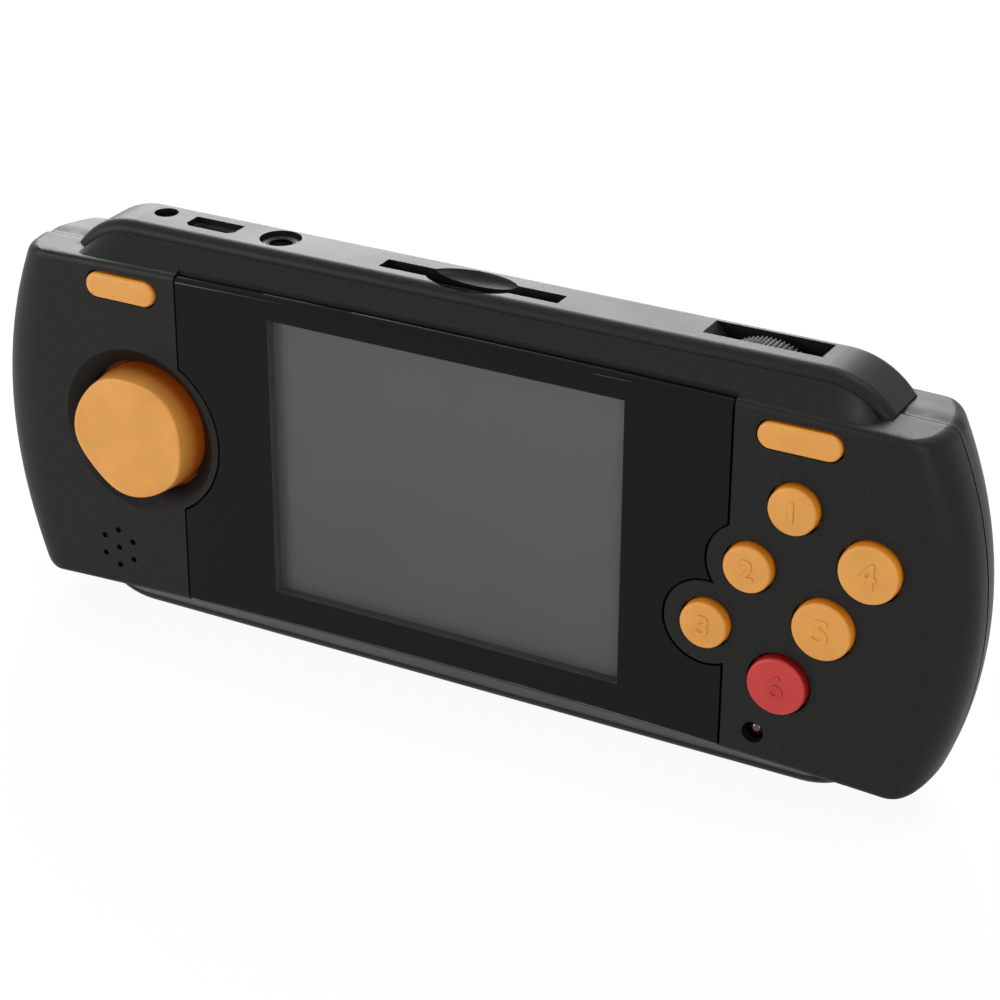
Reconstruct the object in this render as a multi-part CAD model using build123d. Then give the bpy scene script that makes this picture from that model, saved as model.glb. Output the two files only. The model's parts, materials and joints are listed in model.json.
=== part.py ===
from build123d import *
from math import atan2, cos, pi, radians, sin, sqrt
import os

# Handheld game console: a two-part moulded case with a glossy screen lens, a direction pad on the
# left, eight push buttons on the right and left, sockets and a volume wheel along its top ridge.
# Case frame, in millimetres: x runs right from the middle of the screen, y runs from the front
# face into the case, z runs up from the middle of the screen. The finished pieces are lifted so
# that the flat underside of the lower ridge lies on z = 0, with the origin in its middle.

# Case outline, at its fullest where the two shells meet
case_depth = 18.0
parting_depth = 7.3
parting_gap = 0.4
case_half_length = 80.0
case_top_shorter = 6.4
case_low_shorter = 5.8
case_top_half_length = case_half_length - case_top_shorter
case_low_half_length = case_half_length - case_low_shorter
case_top = 26.5
case_low = -27.6
top_edge_bow = 1.0
low_edge_bow = 1.8
end_middle = -0.9
top_corner_radius = 2.2
low_corner_radius = 6.0
front_low_corner_radius = 1.6
wall = 1.8

# Soft rounding of the two ends, from the flat front and from the flat back
front_round_reach = 9.5
front_round_top_reach = 5.3
front_round_low_reach = 5.4
back_round_reach = 8.0
back_round_top_reach = 7.6
back_round_low_reach = 7.7
front_flat_half_length = case_half_length - front_round_reach
front_flat_top_half_length = case_top_half_length - front_round_top_reach
front_flat_low_half_length = case_low_half_length - front_round_low_reach
back_flat_half_length = case_half_length - back_round_reach
back_flat_top_half_length = case_top_half_length - back_round_top_reach
back_flat_low_half_length = case_low_half_length - back_round_low_reach
front_round_share = 0.4
front_edge_radius = 0.9
back_edge_radius = 3.0
rounding_steps = 7

# Ridges that stand above and below the case, with sloping faces before and behind
ridge_length_share = 0.82
ridge_half_length = ridge_length_share * case_half_length
ridge_top = 31.0
ridge_low = -33.5
ridge_end_radius = 12.5
ridge_end_reach = 10.0
ridge_front = 4.5
ridge_back = 14.5
ridge_rim_radius = 1.6
ridge_root = 8.0
ridge_seam_gap = 0.1
slope_cover = 1.4
slope_foot_back = 0.7
slope_foot_sink = 0.15

# Lip of the rear shell inside the ends of the front shell
lip_thickness = 1.0
lip_length = 1.5
lip_clearance = 0.15

# Display window and glossy lens
window_width_share = 0.72
window_width = window_width_share * case_half_length
window_height = 44.6
lens_side_width = 16.3
lens_half_width = window_width / 2 + lens_side_width
lens_thickness = 1.6
lens_proud = 0.05
lens_gap = 0.35
lens_top_radius = 1.0
lens_bed_thickness = 1.25
lens_bed_margin = 1.2
pane_clearance = 0.02

# Direction pad
pad_place_share = 0.66
pad_x = -pad_place_share * case_half_length
pad_z = -0.85
pad_bay_radius = 13.4
pad_bay_shift_x = 1.0
pad_bay_shift_z = 0.25
pad_dish_radius = 13.3
pad_dish_depth = 2.0
pad_hole_radius = 10.8
pad_collar_radius = 13.5
pad_collar_back = 3.5
pad_radius = 10.2
pad_top_radius = 9.7
pad_proud = 3.4
pad_edge_radius = 0.9
pad_hollow_depth = 0.7
pad_flange_radius = 11.5
pad_flange_thickness = 0.8
pad_flange_seat = 0.7
pad_socket_radius = 2.6
pad_socket_front = 2.7
pad_pin_radius = 1.2
pad_pin_foot_radius = 2.2
pad_pin_foot_thickness = 0.8
pad_pin_seat = 0.2

# Push buttons: two slanting rows of three round caps and two long caps
button_place_share = 0.68
button_first_x = button_place_share * case_half_length
button_first_z = 12.0
button_step_x = -6.1
button_step_z = -10.3
button_row_x = 11.3
button_row_z = -6.7
small_button_radius = 3.7
large_button_radius = 4.5
button_proud = 1.35
button_edge_radius = 0.6
button_gap = 0.3
button_flange_width = 0.8
button_flange_thickness = 1.0
button_flange_seat = 0.2
button_travel = 1.0
button_bay_radius = 6.4
long_button_place_share = 0.6825
long_button_x = long_button_place_share * case_half_length
long_button_z = 22.1
long_button_length = 12.1
long_button_height = 3.9
long_button_proud = 0.8
long_button_ear = 1.2
long_button_edge_radius = 0.4

# Main board, its rubber key sheets and the screws that clamp it
board_front = 6.2
board_thickness = 1.2
board_edge_clearance = 0.6
board_ridge_end_gap = 4.6
board_ridge_half_length = ridge_half_length - board_ridge_end_gap
board_ridge_clearance = 2.0
sheet_thickness = 0.5
sheet_margin = 2.0
dome_radius = 2.4
dome_tip_radius = 1.7
dome_clearance = 0.15
pad_dome_offset = 8.0
pad_dome_height = 0.1
post_radius = 2.8
screw_radius = 1.0
screw_clearance = 0.15
screw_thread_gap = 0.05
screw_hole_depth = 3.6
screw_head_radius = 1.9
screw_head_thickness = 1.4
screw_head_depth = 5.0
screw_socket_radius = 0.7
screw_socket_depth = 0.8
post_right_end = 11.5
post_right_low_end = 14.0
post_left_end = 10.5
post_right_x = case_half_length - post_right_end
post_right_high_z = 17.5
post_right_low_x = case_half_length - post_right_low_end
post_right_low_z = -19.5
post_left_x = post_left_end - case_half_length
post_left_high_z = 14.0
post_left_low_z = -15.0
post_middle_x = 37.5
post_middle_z = -22.0

# Display module behind the lens
glass_overlap = 1.9
glass_width = window_width + 2 * glass_overlap
glass_height = 47.4
glass_thickness = 1.5
glass_gap = 0.1
glass_side_gap = 0.3
backlight_margin = 0.2
backlight_thickness = 2.2
tray_sheet = 0.3
tray_gap = 0.05
foam_width = 5.0
foam_length = 36.0
ribbon_width = 22.0
ribbon_sheet = 0.12
ribbon_length = 12.0
ribbon_low = -20.0

# Battery light under the buttons and charging light in the top
battery_light_place_share = 0.625
battery_light_x = battery_light_place_share * case_half_length
battery_light_z = -24.2
light_hole_radius = 1.65
charge_hole_radius = 1.85
light_radius = 1.35
light_sink = 1.0
light_foot_radius = 1.6
light_foot_thickness = 0.8
charge_light_end = 12.5
charge_light_x = charge_light_end - ridge_half_length
charge_light_y = 10.6
charge_light_sink = 1.1
charge_holder_width = 3.6
charge_holder_height = 3.0
charge_light_length = 3.2

# Speaker behind its seven holes
speaker_place_share = 0.73
speaker_x = -speaker_place_share * case_half_length
speaker_z = -19.7
speaker_radius = 5.8
speaker_rim = 0.8
speaker_depth = 3.0
speaker_magnet_radius = 3.6
speaker_cone_depth = 0.9
speaker_gasket = 0.3
speaker_hole_shift = 0.5
speaker_hole_x = speaker_x + speaker_hole_shift
speaker_hole_z = -22.1
speaker_hole_radius = 0.5
speaker_hole_pitch = 3.05
speaker_hole_count = 6

# Sockets along the top ridge
port_end = 21.75
port_x = port_end - ridge_half_length
port_y = 9.6
port_opening_width = 8.5
port_opening_depth = 3.8
port_opening_corner = 0.9
port_room = 0.15
port_sink = 0.9
port_length = 9.0
port_sheet = 0.35
port_foot_width = 5.0
port_foot_length = 4.0
port_tongue_width = 4.6
port_tongue_thickness = 1.0
port_tongue_length = 6.5
jack_end = 33.2
jack_x = jack_end - ridge_half_length
jack_y = 9.9
jack_hole_radius = 3.15
jack_collar_radius = 2.95
jack_collar_sink = 0.8
jack_bore_radius = 1.78
jack_bore_length = 11.0
jack_width = 7.6
jack_length = 12.5
jack_sleeve_radius = 2.25
jack_sleeve_sink = 0.5
card_x = 0.1
card_y = 8.97
card_slot_width = 28.9
card_slot_depth = 3.0
card_socket_length = 25.0
card_socket_sheet = 0.3
card_cavity_width = 24.6
scoop_half_length = 7.2
scoop_half_width = 3.8
scoop_depth = 1.45
ridge_part_gap = 0.2

# Volume wheel in its recess
wheel_end = 20.4
wheel_x = ridge_half_length - wheel_end
wheel_y = 10.1
wheel_radius = 8.5
wheel_thickness = 2.8
wheel_sink = 0.1
wheel_tooth_count = 80
wheel_tooth_depth = 0.32
wheel_hub_radius = 3.6
wheel_web_depth = 0.6
wheel_bore_radius = 2.05
wheel_shaft_radius = 2.0
wheel_shaft_spare = 0.2
wheel_seat = 0.1
wheel_slot_clearance = 0.35
recess_x = wheel_x
recess_y = 10.35
recess_length = 17.6
recess_width = 4.7
recess_depth = 2.3
recess_end_slope = 2.2
recess_wall = 1.2
volume_base_width = 10.0

# Power switch in the underside of the lower ridge
switch_x = -30.0
switch_y = 9.6
switch_slot_clearance = 0.3
switch_dimple = 0.5
switch_dimple_margin = 1.4
switch_knob_length = 3.2
switch_knob_width = 2.2
switch_knob_sink = 0.35
switch_travel = 3.0
switch_body_length = 10.0
switch_body_width = 4.0
switch_body_height = 3.0
switch_seat = 0.15

# Battery, its compartment and its cover
battery_z = -4.0
battery_width = 47.0
battery_height = 35.5
battery_thickness = 4.6
battery_clearance = 0.4
battery_edge_radius = 1.5
compartment_wall = 1.0
compartment_floor = 0.8
cover_width = 54.0
cover_low = -24.0
cover_high = 19.6
cover_thickness = 1.5
cover_clearance = 0.2
cover_corner_radius = 3.0
cover_rest = 1.2
cover_tab_width = 6.0
cover_tab_reach = 0.8
cover_tab_offset = 16.0
cover_tab_thickness = 0.8
cover_screw_z = 16.8
cover_screw_sink = 1.05
cover_screw_head_thickness = 0.9
cover_screw_length = 4.5
contact_count = 3
contact_pitch = 4.0
contact_width = 1.6
contact_sheet = 0.3
contact_clearance = 0.3
contact_length = 7.0

# Wrist strap groove in the left end
strap_z = -2.2
strap_radius = 2.0
strap_reach = 1.5
strap_front = 2.4
strap_back = 12.5
strap_backing = 1.5
strap_hole_radius = 1.1
strap_hole_y = 10.5
strap_hole_sink = 4.2

# Chips on the board
chip_x = 22.0
chip_z = -14.0
chip_width = 14.0
chip_thickness = 1.3
memory_x = -22.0
memory_width = 8.0
memory_length = 12.0

overrun = 5.0
cavity_overlap = 0.5

board_back = board_front + board_thickness
lens_front = -lens_proud
lens_back = lens_front + lens_thickness
bed_back = lens_back + lens_bed_thickness
battery_back = case_depth - cover_thickness - ridge_part_gap
battery_front = battery_back - battery_thickness
compartment_front = battery_front - battery_clearance / 4 - compartment_floor
ridge_wall_top = ridge_top - wall
ridge_wall_low = ridge_low + wall
wheel_z = ridge_top - wheel_sink - wheel_radius


def on_front(shape, y):
    """A drawing in x and z, laid on the plane at depth y."""
    return Plane(origin=(0, y, 0), x_dir=(1, 0, 0), z_dir=(0, -1, 0)) * shape


def slab(shape, front, back):
    """A drawing in x and z, made solid from one depth to another."""
    return extrude(on_front(shape, front), amount=front - back)


def column(shape, low, high):
    """A drawing in x and y, made solid from one height to another."""
    return extrude(Pos(0, 0, low) * shape, amount=high - low)


def disc(x, z, radius, front, back):
    """A round bar along y."""
    return slab(Pos(x, z) * Circle(radius), front, back)


def block(x, z, width, height, front, back):
    """A box centred on x and z."""
    return slab(Pos(x, z) * Rectangle(width, height), front, back)


def fullness(y, depth):
    """Share of the end rounding that is reached at a depth, fuller before the parting than behind it."""
    if y <= parting_depth:
        fall = (parting_depth - y) / parting_depth
        return max(0, 1 - fall ** (1 / front_round_share)) ** front_round_share
    fall = (y - parting_depth) / (depth - parting_depth)
    return sqrt(max(0, 1 - fall * fall))


def edge_fall(y):
    """How far the top and bottom draw in near the front and back edges."""
    if y < front_edge_radius:
        return front_edge_radius - sqrt(front_edge_radius ** 2 - (front_edge_radius - y) ** 2)
    start = case_depth - back_edge_radius
    if y > start:
        return back_edge_radius - sqrt(max(0, back_edge_radius ** 2 - (y - start) ** 2))
    return 0


def case_outline(y, inset):
    """The case's outline at a depth: four bowed sides with rounded corners, drawn in by an inset."""
    share = fullness(y, case_depth)
    front_side = y <= parting_depth
    flat_middle = front_flat_half_length if front_side else back_flat_half_length
    flat_top = front_flat_top_half_length if front_side else back_flat_top_half_length
    flat_low = front_flat_low_half_length if front_side else back_flat_low_half_length
    middle = flat_middle + (case_half_length - flat_middle) * share - inset
    top_end = flat_top + (case_top_half_length - flat_top) * share - inset
    low_end = flat_low + (case_low_half_length - flat_low) * share - inset
    top = case_top - edge_fall(y) - inset
    low = case_low + edge_fall(y) + inset
    high_left = (-top_end, top - top_edge_bow)
    high_right = (top_end, top - top_edge_bow)
    low_left = (-low_end, low - low_edge_bow)
    low_right = (low_end, low - low_edge_bow)
    sides = [
        ThreePointArc(high_left, (0, top), high_right),
        ThreePointArc(high_right, (middle, end_middle), low_right),
        ThreePointArc(low_right, (0, low), low_left),
        ThreePointArc(low_left, (-middle, end_middle), high_left),
    ]
    outline = make_face(sides)
    corners = outline.vertices().sort_by(Axis.Y)
    outline = fillet(corners[2:], top_corner_radius)
    corners = [v for v in outline.vertices() if v.Y < 0 and abs(abs(v.X) - low_end) < wall / 2]
    growth = share ** 6 if front_side else 1
    low_radius = front_low_corner_radius + (low_corner_radius - front_low_corner_radius) * growth
    return fillet(corners[:2], low_radius)


def rounding_depths(front, back):
    """Depths between two planes, closer together near the flats, even along the rounding."""
    turns = [pi / 2 * step / rounding_steps for step in range(rounding_steps + 1)]
    if front < parting_depth and back <= parting_depth:
        return [front + (back - front) * (1 - max(0, cos(turn)) ** (2 * front_round_share)) for turn in turns]
    return [front + (back - front) * sin(turn) for turn in turns]


def case_body(inset):
    """The case's plain body, drawn in by an inset on every side."""
    front_shrink = parting_depth / (parting_depth - inset)
    back_shrink = (case_depth - parting_depth) / (case_depth - inset - parting_depth)
    front_sections = []
    for y in rounding_depths(inset, parting_depth):
        depth = (y - inset) * front_shrink
        front_sections.append(on_front(case_outline(depth, inset), y))
    back_sections = []
    for y in rounding_depths(parting_depth, case_depth - inset):
        depth = parting_depth + (y - parting_depth) * back_shrink
        back_sections.append(on_front(case_outline(depth, inset), y))
    return loft(front_sections) + loft(back_sections)


def case_edge(x, y, upward):
    """Height of the case's bowed top edge, or depth of its bottom edge, at a place along it."""
    end = case_top_half_length if upward else case_low_half_length
    bow = (top_edge_bow if upward else low_edge_bow) * (x / end) ** 2
    return (case_top - bow if upward else -case_low + bow) - edge_fall(y)


def ridge_peak(upward, inset):
    """Height of a ridge's flat face from the middle of the screen."""
    return (ridge_top if upward else -ridge_low) - inset


def flip(points, upward):
    """Points of an outline, turned over for the lower ridge."""
    return [(x, z if upward else -z) for x, z in points]


def ridge_outline(upward, inset):
    """A ridge seen from the front: flat on top, with its two ends curving down to the case."""
    half = ridge_half_length - inset
    peak = ridge_peak(upward, inset)
    radius = ridge_end_radius - inset
    centre = ridge_half_length - ridge_end_reach
    reach = half - centre
    side = peak - radius + sqrt(radius ** 2 - reach ** 2)
    turn = (pi / 2 + atan2(sqrt(radius ** 2 - reach ** 2), reach)) / 2
    middle_x = centre + radius * cos(turn)
    middle_z = peak - radius + radius * sin(turn)
    points = flip([(-half, ridge_root), (-half, side), (-middle_x, middle_z), (-centre, peak),
                   (centre, peak), (middle_x, middle_z), (half, side), (half, ridge_root)], upward)
    return make_face([
        Line(points[0], points[1]),
        ThreePointArc(points[1], points[2], points[3]),
        Line(points[3], points[4]),
        ThreePointArc(points[4], points[5], points[6]),
        Line(points[6], points[7]),
        Line(points[7], points[0]),
    ])


def slope_foot(upward, inset, y):
    """The foot of a ridge's slope: the case's own edge, with as many sides as the ridge's outline."""
    half = ridge_half_length - inset - ridge_rim_radius
    centre = ridge_half_length - ridge_end_reach
    end_z, centre_z, middle_z = (case_edge(x, y, upward) - inset - slope_foot_sink for x in (half,
                                                                                             centre, 0))
    points = flip([(-half, ridge_root), (-half, end_z), (-centre, centre_z), (0, middle_z),
                   (centre, centre_z), (half, end_z), (half, ridge_root)], upward)
    return make_face([
        Line(points[0], points[1]),
        Line(points[1], points[2]),
        ThreePointArc(points[2], points[3], points[4]),
        Line(points[4], points[5]),
        Line(points[5], points[6]),
        Line(points[6], points[0]),
    ])


def ridge_body(upward, inset):
    """A ridge with its sloping faces, drawn in by an inset."""
    cover = slope_cover if inset else 0
    front = ridge_front + cover
    back = ridge_back - cover
    bar = slab(ridge_outline(upward, inset), front, back)
    if not inset:
        peak = ridge_peak(upward, inset)
        side = peak - ridge_end_radius / 2
        rims = [e for e in bar.edges() if abs(e.tangent_at(0.5).Y) < 0.5 and abs((e @ 0.5).Z) > side
                and min(abs((e @ 0.5).Y - front), abs((e @ 0.5).Y - back)) < ridge_rim_radius / 2]
        bar = fillet(rims, ridge_rim_radius)
    top = ridge_outline(upward, inset + ridge_rim_radius)
    foot_front = front_edge_radius + inset
    foot_back = case_depth - slope_foot_back - inset
    before = loft([on_front(slope_foot(upward, inset, foot_front), foot_front), on_front(top, front)],
                  ruled=True)
    foot = slope_foot(upward, inset, case_depth - slope_foot_back)
    behind = loft([on_front(top, back), on_front(foot, foot_back)], ruled=True)
    return bar + before + behind


def whole_body(inset):
    """The case with both its ridges."""
    return case_body(inset) + ridge_body(True, inset) + ridge_body(False, inset)


def ridge_zone(clearance):
    """Where the rear shell reaches forward through the front shell, above and below."""
    half = ridge_half_length + clearance
    high_root = case_top - wall - top_edge_bow - cavity_overlap - clearance
    low_root = case_low + wall + cavity_overlap + clearance
    reach = ridge_top - ridge_low
    high = Pos(0, high_root + reach / 2) * Rectangle(2 * half, reach)
    low = Pos(0, low_root - reach / 2) * Rectangle(2 * half, reach)
    return slab(high + low, ridge_front - clearance, case_depth + overrun)


def half_space(front, back):
    """Everything between two depths."""
    return slab(Rectangle(4 * case_half_length, 4 * case_half_length), front, back)


def post_places():
    """Middles of the six screw posts."""
    return [(post_right_x, post_right_high_z), (post_right_low_x, post_right_low_z),
            (post_left_x, post_left_high_z), (post_left_x, post_left_low_z),
            (post_middle_x, post_middle_z), (-post_middle_x, post_middle_z)]


def button_places():
    """Middle and radius of each round button: three small ones, two large ones and the red one."""
    places = []
    for row, radius in ((0, small_button_radius), (1, large_button_radius)):
        for step in range(3):
            x = button_first_x + button_row_x * row + button_step_x * step
            z = button_first_z + button_row_z * row + button_step_z * step
            places.append((x, z, radius))
    return places


def long_button_outline(spare):
    """The long cap's outline with a gap around it."""
    return SlotOverall(long_button_length + 2 * spare, long_button_height + 2 * spare)


def bays(spare):
    """The matte bays that cut into the lens, round the direction pad and two of the small buttons."""
    bay = Pos(pad_x + pad_bay_shift_x, pad_z + pad_bay_shift_z) * Circle(pad_bay_radius + spare)
    for x, z, radius in button_places()[1:3]:
        bay += Pos(x, z) * Circle(button_bay_radius + spare)
    return bay


def lens_outline(spare):
    """The lens seen from the front, less a gap, between the case's own top and bottom edges."""
    band = Rectangle(2 * (lens_half_width - spare), 4 * case_top)
    return (case_outline(parting_depth, spare) & band) - bays(spare)


def front_shell(hollow, within_walls):
    """Front half of the case, with the lens bed, the pad's collar and every hole."""
    added = [
        block(0, (case_top + case_low) / 2, 2 * (lens_half_width + lens_bed_margin),
              case_top - case_low - wall,
              lens_back, bed_back),
        disc(pad_x, pad_z, pad_collar_radius, wall / 2, pad_collar_back),
        strap_backing_body(within_walls, 0, parting_depth - parting_gap / 2),
    ]
    flare = (pad_dish_radius - pad_hole_radius) / pad_dish_depth
    cuts = [
        slab(Rectangle(2 * lens_half_width, 4 * case_top) - bays(0), -overrun, lens_back),
        block(0, 0, glass_width + 2 * glass_side_gap, glass_height + 2 * glass_side_gap, 0, parting_depth),
        loft([on_front(Pos(pad_x, pad_z) * Circle(pad_dish_radius + flare * wall), -wall),
              on_front(Pos(pad_x, pad_z) * Circle(pad_hole_radius), pad_dish_depth)], ruled=True),
        disc(pad_x, pad_z, pad_hole_radius, 0, pad_collar_back + overrun),
        disc(battery_light_x, battery_light_z, light_hole_radius, -overrun, wall + overrun),
        strap_groove(0),
    ]
    for x, z in post_places():
        added.append(disc(x, z, post_radius, wall / 2, board_front))
        cuts.append(disc(x, z, screw_radius + screw_thread_gap, board_front - screw_hole_depth,
                         board_front + overrun))
    for x, z, radius in button_places():
        cuts.append(disc(x, z, radius + button_gap, -overrun, wall + overrun))
        cuts.append(disc(x, z, radius + button_flange_width + button_gap, wall, bed_back + overrun))
    for side in (-1, 1):
        cuts.append(long_button_slot(side))
    for x, z in speaker_hole_places():
        cuts.append(disc(x, z, speaker_hole_radius, -overrun, wall + lip_thickness))
    zone = half_space(-overrun, parting_depth - parting_gap / 2) - ridge_zone(ridge_seam_gap)
    return keep_largest(((hollow & zone) + added) - cuts)


def long_button_slot(side):
    """A long button's hole, wider behind the face where the cap's two ears ride."""
    place = Pos(side * long_button_x, long_button_z)
    slot = slab(place * long_button_outline(button_gap), -overrun, board_front)
    ears = Rectangle(long_button_length + 2 * (long_button_ear + button_gap),
                     long_button_height + 2 * button_gap)
    return slot + slab(place * ears, wall, board_front)


def speaker_hole_places():
    """One hole in the middle and a ring of holes about it."""
    places = [(speaker_hole_x, speaker_hole_z)]
    for step in range(speaker_hole_count):
        turn = radians(90 + 360 * step / speaker_hole_count)
        places.append((speaker_hole_x + speaker_hole_pitch * cos(turn),
                       speaker_hole_z + speaker_hole_pitch * sin(turn)))
    return places


def strap_groove(spare):
    """Half-round groove down the left end, wider and longer by a spare amount."""
    x = -case_half_length - strap_radius + strap_reach
    return disc(x, strap_z, strap_radius + spare, strap_front - spare, strap_back + spare)


def strap_backing_body(within_walls, front, back):
    """Solid plastic behind the strap groove, between two depths."""
    x = -case_half_length - strap_radius + strap_reach
    wide = 2 * (strap_radius + strap_backing)
    reach = max(front, strap_front - strap_backing)
    end = min(back, strap_back + strap_backing)
    return block(x, strap_z, 2 * (strap_radius + strap_backing), wide, reach, end) & within_walls


def keep_largest(shape):
    """The main solid of a shape, without any chip left by its cuts."""
    return max(shape.solids(), key=lambda solid: solid.volume)


def lip():
    """Ring inside the ends of the front shell that lines the two shells up."""
    front = parting_depth - lip_length
    root = parting_depth + lip_thickness
    inside = case_outline(front, wall + lip_clearance + lip_thickness)
    ring = slab(case_outline(front, wall + lip_clearance), front, root)
    ring += slab(case_outline(root, wall / 2), parting_depth + parting_gap / 2, root)
    middle = block(0, 0, 2 * (ridge_half_length + lip_thickness), 4 * case_top, 0, case_depth)
    x = -case_half_length - strap_radius + strap_reach
    wide = 2 * (strap_radius + strap_backing + lip_clearance)
    return ring - [slab(inside, front, root), middle,
                   block(x, strap_z, wide, wide, 0, parting_depth + parting_gap / 2)]


def compartment():
    """Walls, floor and cover ledge of the battery compartment."""
    width = battery_width + 2 * battery_clearance
    height = battery_height + 2 * battery_clearance
    box = block(0, battery_z, width + 2 * compartment_wall, height + 2 * compartment_wall,
                compartment_front, case_depth - cover_thickness)
    ledge_back = case_depth - cover_thickness
    ledge = slab(cover_outline(compartment_wall), ledge_back - cover_rest, ledge_back)
    boss = disc(0, cover_screw_z, post_radius, compartment_front, ledge_back)
    return box + ledge + boss


def compartment_room():
    """The space that the battery and its cover take out of the rear shell."""
    width = battery_width + 2 * battery_clearance
    height = battery_height + 2 * battery_clearance
    hole_front = case_depth - cover_thickness - cover_screw_length
    return [
        block(0, battery_z, width, height, compartment_front + compartment_floor, case_depth),
        slab(cover_outline(cover_clearance), case_depth - cover_thickness, case_depth + overrun),
        disc(0, cover_screw_z, screw_radius + screw_thread_gap, hole_front, case_depth),
        cover_tab(-1, lip_clearance),
        cover_tab(1, lip_clearance),
    ]


def cover_outline(spare):
    """The battery cover's outline with a gap around it."""
    width = cover_width + 2 * spare
    height = cover_high - cover_low + 2 * spare
    return Pos(0, (cover_high + cover_low) / 2) * RectangleRounded(width, height,
                                                                   cover_corner_radius + spare)


def cover_tab(side, spare):
    """A tab under the battery cover's lower edge."""
    back = case_depth - cover_thickness
    height = 2 * cover_tab_reach
    return block(side * cover_tab_offset, cover_low, cover_tab_width + 2 * spare, height + 2 * spare,
                 back - cover_tab_thickness - spare, back)


def contact_places():
    """Where the battery contacts stand."""
    return [contact_pitch * (step - (contact_count - 1) / 2) for step in range(contact_count)]


def contact(x, spare):
    """A contact blade from the board into the battery compartment, along its lower wall."""
    low = battery_z - battery_height / 2 - battery_clearance
    z = low + contact_sheet / 2 + screw_thread_gap
    return block(x, z, contact_width + 2 * spare, contact_sheet + 2 * spare, board_back,
                 board_back + contact_length)


def wheel_recess():
    """Sunk well for the volume wheel, with two sloping ends."""
    plane_low = Plane(origin=(recess_x, recess_y, ridge_top - recess_depth))
    plane_high = Plane(origin=(recess_x, recess_y, ridge_top))
    long_low = recess_length - 2 * recess_end_slope
    well = loft([plane_low * Rectangle(long_low, recess_width),
                 plane_high * Rectangle(recess_length, recess_width)],
                ruled=True)
    mouth = Pos(recess_x, recess_y) * Rectangle(recess_length, recess_width)
    return well + column(mouth, ridge_top, ridge_top + overrun)


def wheel_well():
    """Plastic around the volume wheel's recess."""
    outline = Pos(recess_x, recess_y) * Rectangle(recess_length + 2 * recess_wall,
                                                  recess_width + 2 * recess_wall)
    return column(outline, ridge_top - recess_depth - recess_wall, ridge_top - wall / 2)


def port_outline(spare):
    """Opening of the data port, with its two front corners cut off."""
    width = port_opening_width + 2 * spare
    depth = port_opening_depth + 2 * spare
    opening = Rectangle(width, depth)
    return Pos(port_x, port_y) * chamfer(opening.vertices().sort_by(Axis.Y)[:2], port_opening_corner)


def top_openings():
    """Holes through the upper ridge for the charging light, sockets, card and wheel."""
    low = ridge_wall_top - overrun / 2
    high = ridge_top + overrun
    scoop = scale(Sphere(1), by=(scoop_half_length, scoop_half_width, scoop_depth))
    reach = wheel_radius + wheel_slot_clearance
    half = wheel_thickness / 2 + wheel_slot_clearance
    return [
        column(Pos(charge_light_x, charge_light_y) * Circle(charge_hole_radius), low, high),
        column(port_outline(0), low, high),
        column(Pos(jack_x, jack_y) * Circle(jack_hole_radius), low, high),
        column(Pos(card_x, card_y) * Rectangle(card_slot_width, card_slot_depth), low, high),
        Pos(card_x, card_y, ridge_top) * scoop,
        wheel_recess(),
        disc(wheel_x, wheel_z, reach, wheel_y - half, wheel_y + half),
    ]


def switch_opening():
    """Slot and shallow dimple for the power switch in the lower ridge."""
    x = switch_x + switch_travel / 2
    length = switch_knob_length + switch_travel + 2 * switch_slot_clearance
    width = switch_knob_width + 2 * switch_slot_clearance
    slot = column(Pos(x, switch_y) * Rectangle(length, width), ridge_low - overrun, ridge_wall_low + wall)
    dimple = Pos(x, switch_y) * RectangleRounded(length + 2 * switch_dimple_margin,
                                                 width + switch_dimple_margin,
                                                 width / 2)
    return slot + column(dimple, ridge_low - overrun, ridge_low + switch_dimple)


def rear_shell(hollow, within_walls):
    """Rear half of the case with both ridges, the battery compartment and the screw posts."""
    solid = [disc(x, z, post_radius, board_back, case_depth) for x, z in post_places()]
    solid.append(block(strap_hole_x(), strap_z, 2 * strap_hole_sink, 2 * (strap_radius + strap_backing),
                       strap_hole_y - 2 * strap_hole_radius, case_depth))
    added = [Compound(solid) & within_walls, lip(), compartment(), wheel_well(),
             strap_backing_body(within_walls, parting_depth + parting_gap / 2, case_depth)]
    cuts = [*compartment_room(), *top_openings(), switch_opening(), strap_groove(0)]
    cuts.append(disc(strap_hole_x(), strap_z, strap_hole_radius, strap_hole_y, case_depth + overrun))
    cross = Plane(origin=(-case_half_length - overrun, strap_hole_y, strap_z), z_dir=(1, 0, 0))
    cuts.append(extrude(cross * Circle(strap_hole_radius),
                        amount=overrun + case_half_length + strap_hole_x()))
    for x, z in post_places():
        cuts.append(disc(x, z, screw_radius + screw_clearance, 0, case_depth))
        cuts.append(disc(x, z, screw_head_radius + screw_clearance, case_depth - screw_head_depth,
                         case_depth + overrun))
    for x in contact_places():
        cuts.append(contact(x, contact_clearance))
    zone = half_space(parting_depth + parting_gap / 2, case_depth + overrun) + ridge_zone(0)
    return keep_largest(((hollow & zone) + added) - cuts)


def strap_hole_x():
    """Where the strap's hole runs back through the rear shell."""
    return -case_half_length + strap_hole_sink


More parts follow.
